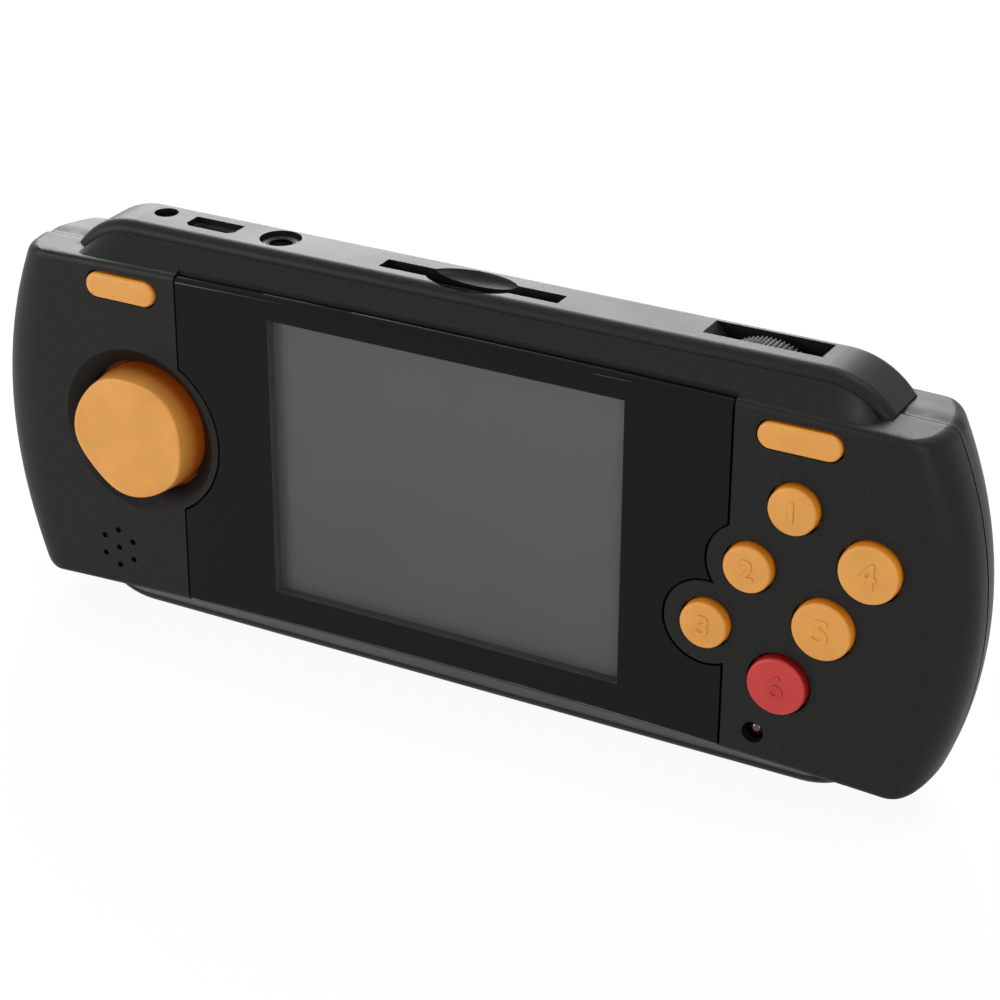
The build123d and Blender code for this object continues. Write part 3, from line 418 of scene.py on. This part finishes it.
@dataclass(frozen=True)
class RibbedPlastic:
    """Dark wheel plastic with a painted highlight on its rib tips."""

    name: str
    shade: Tone
    # Painted highlight: the colour of the rib tips
    tip_painted_highlight: Tone
    centre: tuple
    radius: float
    rib: float
    roughness: float = 0.3
    haze: float = 0.1
    specular: float = 0.5
    grain: float = 0.3
    depth: float = 0.004
    # How strong the painted highlight on the rib tips is, and how unevenly it lies
    highlight_strength: float = 0.7
    highlight_unevenness: float = 0.4

    def make(self) -> bpy.types.Material:
        """Builds the material: the colour follows the distance from the wheel's axis, with a painted
        highlight towards the rim.
        """
        shader = Shader(self.name)
        across = shader.axis("X") - self.centre[0] * MILLIMETRE
        high = shader.axis("Z") - self.centre[1] * MILLIMETRE
        reach = (across * across + high * high) ** 0.5
        # Painted highlight: lighter towards the wheel's rim, over the depth of a rib
        painted_highlight = reach.span((self.radius - self.rib) * MILLIMETRE, self.radius * MILLIMETRE)
        grain = shader.noise(self.grain, Texture.SATIN)
        return shader.set(
            Base_Color=shader.mix(
                painted_highlight * (grain * self.highlight_unevenness + self.highlight_strength), self.shade.value, self.tip_painted_highlight.value),
            Roughness=grain.about(self.roughness, self.haze),
            Specular_IOR_Level=self.specular,
            Normal=shader.bump(grain, self.depth),
        ).material


@dataclass(frozen=True)
class ClearPane:
    """Clear part of the lens: mostly see-through, with the lens's gloss."""

    name: str
    shade: Tone
    alpha: float = 0.12
    alpha_spread: float = 0.02
    roughness: float = 0.04
    specular: float = 0.3
    haze_size: float = 16.0
    haze_range: tuple = (0.2, 0.8)
    haze: float = 0.05

    def make(self) -> bpy.types.Material:
        """Builds the material: a thin tint whose haze varies slowly."""
        shader = Shader(self.name)
        haze = shader.noise(self.haze_size, Texture.ROUGH)
        return shader.set(
            Base_Color=self.shade.value,
            Alpha=haze.span(*self.haze_range) * self.alpha_spread + self.alpha,
            Roughness=haze * self.haze + self.roughness,
            Specular_IOR_Level=self.specular,
        ).material


@dataclass(frozen=True)
class DisplayFace:
    """Face of the switched-off display: a grey with painted light that falls off slowly towards the bottom
    and the left, with faint unevenness.
    """

    name: str
    shade: Tone
    height_range: tuple = (10.0, 60.0)
    width_range: tuple = (-30.0, 30.0)
    sideways_share: float = 0.3
    grain_size: float = 0.25
    grain_share: float = 0.08
    darkest: float = 0.82
    lightest: float = 1.12
    roughness: float = 0.34
    haze: float = 0.08
    specular: float = 0.2

    def make(self) -> bpy.types.Material:
        """Builds the material: a slow painted fall of light from top to bottom and from right to left, and a
        very fine grain.
        """
        shader = Shader(self.name)
        # Painted light: the display is lighter towards the top and the right
        height = shader.axis("Z").span(*(end * MILLIMETRE for end in self.height_range))
        across = shader.axis("X").span(*(end * MILLIMETRE for end in self.width_range))
        painted_light_fall = height * (1 - self.sideways_share) + across * self.sideways_share
        grain = shader.noise(self.grain_size, Texture.SOFT)
        return shader.set(
            Base_Color=shader.mix(painted_light_fall * (1 - self.grain_share) + grain * self.grain_share,
                                  self.shade.dim(self.darkest), self.shade.dim(self.lightest)),
            Roughness=grain * self.haze + self.roughness,
            Specular_IOR_Level=self.specular,
        ).material


@dataclass(frozen=True)
class SoftPlastic:
    """Coloured button plastic, slightly cloudy, so that light spreads inside its edges, with painted light
    and shade down its sides.
    """

    name: str
    shade: Tone
    # Side colour, painted: it stands in for the light and shade that fall on the cap's sides
    side: Tone
    glow: Glow
    # Depths in the case frame where the painted side colour begins and where it is full
    face: float
    foot: float
    roughness: float = 0.42
    haze: float = 0.12
    spread: float = 1.3
    spread_share: float = 0.55
    specular: float = 0.35
    cloud_size: float = 4.5
    darkest: float = 0.95
    lightest: float = 1.05
    grain_size: float = 0.28
    grain_depth: float = 0.004
    wave_size: float = 3.2
    wave_depth: float = 0.03

    def make(self) -> bpy.types.Material:
        """Builds the material: cloudy colour that turns to a painted side colour down the sides, standing in
        for light and shade there, satin grain, soft unevenness.
        """
        shader = Shader(self.name)
        front = (self.face - FACE_TO_MIDDLE) * MILLIMETRE
        back = (self.foot - FACE_TO_MIDDLE) * MILLIMETRE
        # Painted light and shade: 0 at the face's depth, 1 at the foot's depth, mixing in the side colour
        painted_side_shading = shader.axis("Y").span(front, back)
        cloud = shader.noise(self.cloud_size, Texture.CLOUDY).span(*MOST)
        grain = shader.noise(self.grain_size, Texture.SATIN)
        wave = shader.noise(self.wave_size, Texture.SOFT)
        cloudy = shader.mix(cloud, self.shade.dim(self.darkest), self.shade.dim(self.lightest))
        return shader.set(
            Base_Color=shader.mix(painted_side_shading, cloudy, self.side.value),
            Roughness=grain.about(self.roughness, self.haze),
            Specular_IOR_Level=self.specular,
            Subsurface_Weight=self.spread_share,
            Subsurface_Radius=self.glow.value,
            Subsurface_Scale=self.spread * MILLIMETRE,
            Normal=shader.bump(wave, self.wave_depth, shader.bump(grain, self.grain_depth)),
        ).material


@dataclass(frozen=True)
class Metal:
    """Sheet metal or plating with a fine rolled grain."""

    name: str
    shade: Tone
    roughness: float = 0.3
    haze: float = 0.2
    grain_size: float = 0.12
    grain_stretch: tuple = (12, 1, 1)
    grain_depth: float = 0.004
    stain_size: float = 3.0
    stain_range: tuple = (0.3, 0.8)
    stained: float = 0.75

    def make(self) -> bpy.types.Material:
        """Builds the material: a grain drawn out along x and small stains."""
        shader = Shader(self.name)
        grain = shader.noise(self.grain_size, Texture.SATIN, self.grain_stretch)
        stain = shader.noise(self.stain_size, Texture.ROUGH).span(*self.stain_range)
        return shader.set(
            Base_Color=shader.mix(stain, self.shade.value, self.shade.dim(self.stained)),
            Metallic=1.0,
            Roughness=grain.about(self.roughness, self.haze),
            Normal=shader.bump(grain, self.grain_depth),
        ).material


@dataclass(frozen=True)
class PlainPart:
    """Inner plastic, rubber, foam or board with a little grain of its own."""

    name: str
    shade: Tone
    roughness: float
    grain: float
    depth: float
    haze: float = 0.16
    patch_size_share: float = 12
    patch_share: float = 0.5
    darkest: float = 0.8
    lightest: float = 1.2

    def make(self) -> bpy.types.Material:
        """Builds the material: grain in colour, roughness and height."""
        shader = Shader(self.name)
        grain = shader.noise(self.grain, Texture.ROUGH)
        patch = shader.noise(self.grain * self.patch_size_share, Texture.CLOUDY)
        uneven = (grain * (1 - self.patch_share) + patch * self.patch_share).span(*MOST)
        return shader.set(
            Base_Color=shader.mix(uneven, self.shade.dim(self.darkest), self.shade.dim(self.lightest)),
            Roughness=grain.about(self.roughness, self.haze),
            Normal=shader.bump(grain, self.depth),
        ).material


@dataclass(frozen=True)
class LampLens:
    """Dark red lens of a small light that is off."""

    name: str
    shade: Tone
    core_size: float = 0.9
    core_range: tuple = (0.35, 0.65)
    core_dark: float = 0.35
    roughness: float = 0.06
    haze: float = 0.06
    coat: float = 0.7
    coat_spread: float = 0.2

    def make(self) -> bpy.types.Material:
        """Builds the material: clear red over a darker core."""
        shader = Shader(self.name)
        core = shader.noise(self.core_size, Texture.SOFT)
        return shader.set(
            Base_Color=shader.mix(
                core.span(*self.core_range), self.shade.value, self.shade.dim(self.core_dark)),
            Roughness=core * self.haze + self.roughness,
            Coat_Weight=core * self.coat_spread + self.coat,
        ).material


class FinishBook:
    """All the finishes: one for each material slot of the record, and a few for single pieces."""

    # Nodes that look darker than their slot: the jack's sleeve lies in the shadow of its hole
    DARK_NODES = {"video_jack_sleeve": "socket_black"}

    def __init__(self) -> None:
        """Makes every material once."""
        wheel = VolumeWheel()
        # Each button colour comes with its painted side colour, which stands in for light and shade on the
        # sides
        orange = (Tone.ORANGE, Tone.ORANGE_SIDE_PAINTED_LIGHT, Glow.ORANGE)
        red = (Tone.RED, Tone.RED_SIDE_PAINTED_SHADE, Glow.RED)
        finishes = [
            SparkedPlastic("case_black", Tone.CASE),
            PolishedPlastic("lens_black", Tone.LENS, Tone.WINDOW_EDGE_PAINTED_LIGHT),
            ClearPane("clear_window", Tone.LENS),
            DisplayFace("display_glass", Tone.DISPLAY),
            SoftPlastic("button_orange", *orange, face=-1.15, foot=-0.5),
            SoftPlastic("pad_orange", Tone.ORANGE, Tone.ORANGE_FOOT_PAINTED_SHADE, Glow.ORANGE, face=-2.3, foot=1.2),
            SoftPlastic("long_orange", *orange, face=-0.45, foot=0.1),
            SoftPlastic("number_orange", *orange, face=-2.2, foot=1.0),
            SoftPlastic("number_red", *red, face=-2.2, foot=1.0),
            SoftPlastic("button_red", *red, face=-1.15, foot=-0.5),
            RibbedPlastic("wheel_black", Tone.WHEEL, Tone.RIB_TIP_PAINTED_HIGHLIGHT, (wheel.x, wheel.z + SCREEN_HEIGHT),
                          wheel.radius, wheel.tooth),
            SparkedPlastic("socket_black", Tone.LENS, roughness=0.55, grain=0.3, depth=0.004, specular=0.1),
            PlainPart("board_green", Tone.BOARD, roughness=0.4, grain=0.9, depth=0.01),
            PlainPart("key_rubber", Tone.RUBBER, roughness=0.7, grain=0.3, depth=0.006),
            Metal("bright_metal", Tone.STEEL),
            Metal("gold_metal", Tone.GOLD, roughness=0.25),
            PlainPart("inner_plastic", Tone.INNER, roughness=0.45, grain=0.4, depth=0.006),
            PlainPart("white_plastic", Tone.WHITE, roughness=0.4, grain=0.4, depth=0.004),
            PlainPart("amber_plastic", Tone.AMBER, roughness=0.35, grain=0.6, depth=0.004),
            PlainPart("foam", Tone.FOAM, roughness=0.9, grain=0.35, depth=0.05),
            LampLens("light_red", Tone.LAMP),
            PlainPart("battery_wrap", Tone.WRAP, roughness=0.35, grain=0.8, depth=0.004),
        ]
        self.materials = {finish.name: finish.make() for finish in finishes}

    def dress_frame(self) -> None:
        """Gives every CAD node the finish of its material slot, or its own darker one."""
        slots = {part["node"]: part["material_slot"] for part in frame["record"]["subparts"]}
        slots |= self.DARK_NODES
        for node, item in frame["nodes"].items():
            item.data.materials.clear()
            item.data.materials.append(self.materials[slots[node]])

    def __getitem__(self, name: str) -> bpy.types.Material:
        """The material of a slot or a finish."""
        return self.materials[name]


# Surfaces


def surface(name: str, grid: np.ndarray, closed_rows: bool = False) -> bpy.types.Object:
    """Makes an object from a grid of points; the columns always close on themselves.

    Args:
        name: the piece's name.
        grid: rows x columns x 3 points in case-frame millimetres.
        closed_rows: whether the last row joins the first.
    Returns:
        The new object, with doubles merged, normals outwards and smooth shading.
    """
    rows, columns, _ = grid.shape
    index = np.arange(rows * columns).reshape(rows, columns)
    if closed_rows:
        index = np.vstack([index, index[:1]])
    here, beside = index, np.roll(index, -1, axis=1)
    faces = np.stack([here[:-1], beside[:-1], beside[1:], here[1:]], axis=-1).reshape(-1, 4)
    mesh = bpy.data.meshes.new(name)
    mesh.from_pydata(metres(grid.reshape(-1, 3)).tolist(), [], faces.tolist())
    return finish_mesh(name, mesh)


def finish_mesh(name: str, mesh: bpy.types.Mesh, sharp: float = 35.0) -> bpy.types.Object:
    """Merges doubles, closes poles, turns normals outwards and shades smooth with sharp edges.

    Args:
        name: the piece's name.
        mesh: the mesh to clean.
        sharp: the angle in degrees past which an edge stays sharp.
    Returns:
        An object that holds the mesh, linked to the scene.
    """
    work = bmesh.new()
    work.from_mesh(mesh)
    bmesh.ops.remove_doubles(work, verts=work.verts, dist=MERGE_DISTANCE)
    bmesh.ops.dissolve_degenerate(work, edges=work.edges, dist=SHORT_EDGE)
    bmesh.ops.holes_fill(work, edges=[edge for edge in work.edges if edge.is_boundary], sides=0)
    bmesh.ops.recalc_face_normals(work, faces=work.faces)
    work.to_mesh(mesh)
    work.free()
    mesh.shade_smooth()
    mesh.set_sharp_from_angle(angle=math.radians(sharp))
    return linked(name, mesh)


def linked(name: str, data: bpy.types.ID) -> bpy.types.Object:
    """A new object that holds the given data, linked to the scene."""
    item = bpy.data.objects.new(name, data)
    bpy.context.scene.collection.objects.link(item)
    return item


def full_turn(columns: int) -> np.ndarray:
    """Angles of a full turn in radians, without the last, which would repeat the first."""
    return np.linspace(0.0, 2 * np.pi, columns, endpoint=False)


def arc(centre: tuple, radius: float, start: float, end: float, steps: int) -> np.ndarray:
    """Points of an arc in a profile's plane, without the first.

    Args:
        centre: the arc's centre as (across, depth).
        radius: its radius.
        start: its first angle in degrees, from the outward direction towards the back.
        end: its last angle in degrees.
        steps: how many pieces it has.
    Returns:
        Pairs of across and depth: centre + radius * (cos, sin).
    """
    turn = np.radians(np.linspace(start, end, steps + 1))[1:]
    return np.stack([centre[0] + radius * np.cos(turn), centre[1] + radius * np.sin(turn)], axis=-1)


def turned(x: float, z: float, across: np.ndarray, depth: np.ndarray, turn: np.ndarray) -> np.ndarray:
    """Turns a half section about an axis that runs into the case.

    Args:
        x: the axis's place along x.
        z: its place along z.
        across: rows x 1 or rows x columns distances r from the axis.
        depth: rows x 1 or rows x columns depths.
        turn: the columns' angles t.
    Returns:
        rows x columns x 3 points: x + r cos t, depth, z + r sin t.
    """
    return np.stack([x + across * np.cos(turn), depth + 0 * turn, z + across * np.sin(turn)], axis=-1)


@dataclass
class Piece:
    """A finished piece, what it stands for and what it moves with."""

    item: bpy.types.Object
    body: str
    slot: str
    stands_for: tuple = ()
    finish: str = ""

    def settle(self, book: FinishBook) -> None:
        """Dresses the piece and ties it to the frame.

        Args:
            book: the finishes; the piece takes its own finish, or else its slot's.
        """
        self.item.data.materials.clear()
        self.item.data.materials.append(book[self.finish or self.slot])
        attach(self.item, self.body)
        if self.stands_for:
            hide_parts(*self.stands_for)
        log.info("%s rides on %s", self.item.name, self.body)


@dataclass
class RoundButtons:
    """The six round caps, each with a raised plain number."""

    first: tuple = (54.4, 12.0)
    step: tuple = (-6.1, -10.3)
    row: tuple = (11.3, -6.7)
    row_length: int = 3
    radii: tuple = (3.7, 4.5)
    red_cap: int = 6
    proud: float = 1.35
    edge: float = 0.5
    crown: float = 0.10
    draft: float = 0.12
    flange: float = 0.8
    flange_front: float = 2.0
    flange_back: float = 3.0
    columns: int = 96
    face_rows: int = 10
    edge_steps: int = 10
    number_share: float = 1.15
    number_rise: float = 0.11
    number_bevel: float = 0.08
    number_bevel_steps: int = 2
    number_swell: float = 0.06
    number_seat_share: float = 0.3
    number_sharp: float = 50.0

    def places(self) -> list:
        """Middle and radius of each cap, row by row."""
        return [(self.first[0] + self.row[0] * row + self.step[0] * step,
                 self.first[1] + self.row[1] * row + self.step[1] * step, radius)
                for row, radius in enumerate(self.radii) for step in range(self.row_length)]

    def profile(self, radius: float) -> np.ndarray:
        """Half section of a cap: crowned face, rounded edge, side with draft, flange and back.

        Args:
            radius: the cap's radius at its foot.
        Returns:
            Pairs of radius and depth; the face's depth grows with the square of its radius.
        """
        inner = radius - self.draft - self.edge
        across = np.linspace(0.0, inner, self.face_rows)
        face = np.stack([across, -self.proud + self.crown * (across / inner) ** 2], axis=-1)
        middle = (inner, -self.proud + self.crown + self.edge)
        edge = arc(middle, self.edge, -90, 0, self.edge_steps)
        foot = [(radius, self.flange_front), (radius + self.flange, self.flange_front),
                (radius + self.flange, self.flange_back), (0.0, self.flange_back)]
        return np.vstack([face, edge, foot])

    def cap(self, name: str, x: float, z: float, radius: float) -> bpy.types.Object:
        """One cap: its profile turned about its middle."""
        profile = self.profile(radius)
        turn = full_turn(self.columns)
        return surface(name, turned(x, z, profile[:, 0, None], profile[:, 1, None], turn))

    def number(self, text: str, x: float, z: float, radius: float) -> bpy.types.Object:
        """A raised number in the middle of a cap's face, made a mesh and then laid in place.

        Args:
            text: the number.
            x: the cap's middle along x.
            z: its middle along z.
            radius: its radius.
        Returns:
            The number's object.
        """
        words = bpy.data.curves.new(f"number_{text}", "FONT")
        words.body = text
        words.size = self.number_share * radius
        words.align_x = "CENTER"
        words.align_y = "CENTER"
        words.extrude = self.number_rise
        words.bevel_depth = self.number_bevel
        words.bevel_resolution = self.number_bevel_steps
        words.offset = self.number_swell
        holder = bpy.data.objects.new("holder", words)
        mesh = bpy.data.meshes.new_from_object(holder)
        bpy.data.objects.remove(holder)
        points = np.empty(len(mesh.vertices) * 3)
        mesh.vertices.foreach_get("co", points)
        points = points.reshape(-1, 3)
        points[:, :2] -= (points[:, :2].min(axis=0) + points[:, :2].max(axis=0)) / 2
        middle = -self.proud + self.crown * self.number_seat_share
        laid = np.stack([x + points[:, 0], middle - points[:, 2], z + points[:, 1]], axis=-1)
        mesh.vertices.foreach_set("co", metres(laid).ravel())
        mesh.update()
        return finish_mesh(f"button_number_{text}", mesh, self.number_sharp)

    def build(self) -> list[Piece]:
        """Makes the caps and their numbers."""
        pieces = []
        for count, (x, z, radius) in enumerate(self.places(), 1):
            slot = "button_red" if count == self.red_cap else "button_orange"
            cap = self.cap(f"button_cap_{count}", x, z, radius)
            pieces.append(Piece(cap, f"round_{count}", slot, (f"round_button_{count}",)))
            number = self.number(str(count), x, z, radius)
            pieces.append(Piece(number, f"round_{count}", slot, finish=slot.replace("button", "number")))
        return pieces


@dataclass
class LongButtons:
    """The two long caps above the pad and the round buttons."""

    x: float = 54.6
    z: float = 22.1
    length: float = 12.1
    height: float = 3.9
    proud: float = 0.8
    edge: float = 0.55
    crown: float = 0.12
    back: float = 3.0
    columns: int = 96
    face_rows: int = 9
    edge_rows: int = 9

    def outline(self, inset: np.ndarray) -> np.ndarray:
        """Two half circles joined by straight sides, drawn in by an inset.

        Args:
            inset: one inset for each row.
        Returns:
            rows x columns x 2 points: end centre + (half height - inset) * (cos t, sin t).
        """
        turn = full_turn(self.columns) + np.pi / self.columns
        centre = np.where(np.cos(turn) > 0, 1.0, -1.0) * (self.length - self.height) / 2
        radius = (self.height / 2 - inset)[:, None]
        return np.stack([centre + radius * np.cos(turn), radius * np.sin(turn)], axis=-1)

    def cap(self, name: str, side: int) -> bpy.types.Object:
        """One cap: a crowned face, a rounded edge and straight sides, closed at the back.

        Args:
            name: the piece's name.
            side: -1 for the left cap, 1 for the right one.
        Returns:
            The cap; its face's depth grows with the square of the way from the middle line.
        """
        half = self.height / 2
        inset = np.linspace(half, self.edge, self.face_rows)
        share = (half - inset) / (half - self.edge)
        face = np.stack([inset, -self.proud + self.crown * share ** 2], axis=-1)
        turn = np.radians(np.linspace(0, 90, self.edge_rows))[1:]
        low = -self.proud + self.crown + self.edge
        edge = np.stack([self.edge * (1 - np.sin(turn)), low - self.edge * np.cos(turn)], axis=-1)
        profile = np.vstack([face, edge, [(0.0, self.back), (half, self.back)]])
        flat = self.outline(profile[:, 0])
        grid = np.stack([side * self.x + flat[..., 0], profile[:, 1, None] + 0 * flat[..., 0],
                         self.z + flat[..., 1]], axis=-1)
        return surface(name, grid)

    def build(self) -> list[Piece]:
        """Makes both caps."""
        return [Piece(self.cap("reset_cap", -1), "reset", "button_orange", ("reset_button",), "long_orange"),
                Piece(self.cap("start_cap", 1), "start", "button_orange", ("start_button",), "long_orange")]


@dataclass
class DirectionPad:
    """The round pad, with a hollowed face and four soft lobes."""

    x: float = -52.8
    z: float = -0.85
    radius: float = 10.2
    top_radius: float = 9.75
    proud: float = 3.4
    edge: float = 0.45
    edge_end: float = -2.0
    hollow: float = 0.45
    lobe: float = 0.75
    lobes: int = 4
    lobe_power: float = 1.5
    foot_depth: float = 2.0
    flange_radius: float = 11.5
    flange_front: float = 4.2
    flange_back: float = 5.0
    columns: int = 160
    face_rows: int = 22
    edge_steps: int = 9

    def profile(self) -> np.ndarray:
        """Half section with a level face, as pairs of radius and depth."""
        inner = self.top_radius - self.edge
        across = np.linspace(0.0, inner, self.face_rows)
        face = np.stack([across, np.full_like(across, -self.proud)], axis=-1)
        edge = arc((inner, -self.proud + self.edge), self.edge, -90, self.edge_end, self.edge_steps)
        foot = [(self.radius, self.foot_depth), (self.radius, self.flange_front),
                (self.flange_radius, self.flange_front), (self.flange_radius, self.flange_back),
                (0.0, self.flange_back)]
        return np.vstack([face, edge, foot])

    def build(self) -> list[Piece]:
        """Makes the pad: a turned profile whose face and edge sink by a hollow and between the lobes.

        Sinking = hollow * (1 - s) + lobe * s^1.5 * (1 - cos 4t) / 2, with s = (r / rim radius)^2.
        """
        profile = self.profile()
        turn = full_turn(self.columns)
        share = np.clip(profile[:, 0, None] / (self.top_radius - self.edge), 0.0, 1.0) ** 2
        lobe = (1 + np.cos(self.lobes * turn)) / 2
        sunk = self.hollow * (1 - share) + self.lobe * share ** self.lobe_power * (1 - lobe)
        sinks = np.arange(len(profile))[:, None] < self.face_rows + self.edge_steps
        grid = turned(self.x, self.z, profile[:, 0, None], profile[:, 1, None] + sunk * sinks, turn)
        return [Piece(surface("direction_pad_cap", grid), "pad", "button_orange", ("direction_pad",),
                      "pad_orange")]


@dataclass
class VolumeWheel:
    """The knurled wheel in the top ridge."""

    x: float = 45.2
    y: float = 10.1
    z: float = 22.4
    radius: float = 8.5
    thickness: float = 2.8
    teeth: int = 80
    tooth: float = 0.4
    tooth_power: int = 3
    tooth_root: float = 0.05
    chamfer: float = 0.22
    chamfer_lift: float = 0.02
    side_ring: float = 1.0
    hub: float = 3.6
    bore: float = 2.05
    per_tooth: int = 8

    def build(self) -> list[Piece]:
        """Makes the wheel: a rim whose radius falls between the teeth, closed round the bore.

        Radius = outer - tooth * (1 - |cos(teeth * t / 2)|^3), so the ribs are narrow and the gaps wide.
        """
        turn = full_turn(self.teeth * self.per_tooth)
        rib = np.abs(np.cos(self.teeth * turn / 2)) ** self.tooth_power
        rim = self.radius - self.tooth * (1 - rib)
        half = self.thickness / 2
        low = self.radius - self.tooth - self.tooth_root
        radii = [self.bore, self.hub, low - self.side_ring, low, rim - self.chamfer, rim]
        front = [-half, -half, -half, -half, -half + self.chamfer_lift, -half + self.chamfer]
        across = np.stack([radius + 0 * turn for radius in [*radii, rim, *radii[::-1]]])
        depth = np.array([*front, 0.0, *(-place for place in front[::-1])])[:, None] + self.y
        grid = turned(self.x, self.z, across, depth, turn)
        wheel = surface("volume_wheel_knurled", grid, closed_rows=True)
        return [Piece(wheel, "wheel", "wheel_black", ("volume_wheel",))]


# Camera, light and stage


@dataclass
class Viewpoint:
    """The photograph's camera, solved from the window, the ridges and the parting line."""

    position: tuple = (0.17466, -0.31544, 0.21149)
    right: tuple = (0.88042, 0.47417, 0.00477)
    down: tuple = (0.21649, -0.39297, -0.89370)
    forward: tuple = (-0.42190, 0.78786, -0.44863)
    focal_pixels: float = 2750.0
    image_pixels: float = 1000.0
    sensor: float = 36.0
    nearest: float = 0.01

    def build(self) -> None:
        """Makes the camera and gives it to the scene."""
        data = bpy.data.cameras.new("camera")
        data.sensor_width = self.sensor
        data.lens = self.sensor * self.focal_pixels / self.image_pixels
        data.clip_start = self.nearest
        item = linked("camera", data)
        axes = Matrix((self.right, -Vector(self.down), -Vector(self.forward))).transposed().to_4x4()
        item.matrix_world = Matrix.Translation(self.position) @ axes
        bpy.context.scene.camera = item


@dataclass
class SoftBox:
    """A square soft light that looks at the object."""

    name: str
    towards: tuple
    distance: float
    size: float
    power: float
    aim: tuple = (0.0, 0.0, 0.034)

    def build(self) -> None:
        """Hangs the light at its distance in the given direction."""
        data = bpy.data.lights.new(self.name, "AREA")
        data.shape = "SQUARE"
        data.size = self.size
        data.energy = self.power
        item = linked(self.name, data)
        way = Vector(self.towards).normalized()
        item.location = Vector(self.aim) + way * self.distance
        item.rotation_euler = way.to_track_quat("Z", "Y").to_euler()


@dataclass
class Studio:
    """White floor, white surroundings and soft lights."""

    floor_size: float = 6.0
    floor_shade: tuple = (0.94, 0.94, 0.94, 1.0)
    floor_roughness: float = 0.9
    white: tuple = (1, 1, 1, 1)
    ambient: float = 0.42
    shadow_share: float = 0.07
    boxes: list = field(default_factory=lambda: [
        SoftBox("back_box", (-0.46, 0.78, 0.46), distance=0.9, size=0.60, power=9.8),
        SoftBox("key_box", (-0.72, -0.72, 0.12), distance=2.2, size=0.9, power=23.0),
        SoftBox("fill_box", (0.60, -0.80, 0.10), distance=2.2, size=0.9, power=15.0),
        SoftBox("top_box", (0.25, 0.05, 1.0), distance=0.9, size=0.35, power=3.2),
    ])

    def floor(self) -> None:
        """Lays the floor, which the camera and reflections see nearly white but which keeps a shadow."""
        half = self.floor_size / 2
        corners = [(-half, -half, 0), (half, -half, 0), (half, half, 0), (-half, half, 0)]
        mesh = bpy.data.meshes.new("floor")
        mesh.from_pydata(corners, [], [(0, 1, 2, 3)])
        item = linked("floor", mesh)
        shader = Shader("floor_white")
        shader.set(Base_Color=self.floor_shade, Roughness=self.floor_roughness, Specular_IOR_Level=0.0)
        glow = shader.node("ShaderNodeEmission", {}, {"Color": self.white, "Strength": 1.0})
        mixed = shader.node("ShaderNodeMixShader", {}, {
            0: shader.sight() * (1.0 - self.shadow_share), 1: shader.surface.outputs[0], 2: glow.outputs[0]})
        shader.feed(shader.output.inputs["Surface"], mixed.outputs[0])
        mesh.materials.append(shader.material)

    def world(self) -> None:
        """White to the camera and reflections, a plain pale light to everything else."""
        world = bpy.data.worlds.new("world")
        world.use_nodes = True
        nodes = Nodes(world.node_tree)
        pale, bright = (
            nodes.node("ShaderNodeBackground", {}, {"Color": self.white, "Strength": strength}).outputs[0]
            for strength in (self.ambient, 1.0))
        mixed = nodes.node("ShaderNodeMixShader", {}, {0: nodes.sight(), 1: pale, 2: bright})
        nodes.node("ShaderNodeOutputWorld", {}, {"Surface": mixed.outputs[0]})
        bpy.context.scene.world = world

    def build(self) -> None:
        """Sets the whole stage."""
        self.floor()
        self.world()
        for box in self.boxes:
            box.build()
        bpy.context.scene.view_settings.view_transform = "Standard"


def main() -> None:
    """Dresses the frame, builds the new pieces and sets the stage."""
    logging.basicConfig(level=logging.INFO, format="%(name)s: %(message)s")
    Viewpoint().build()
    book = FinishBook()
    book.dress_frame()
    for assembly in (RoundButtons(), LongButtons(), DirectionPad(), VolumeWheel()):
        for piece in assembly.build():
            piece.settle(book)
    Studio().build()


if __name__ == "__main__":
    main()
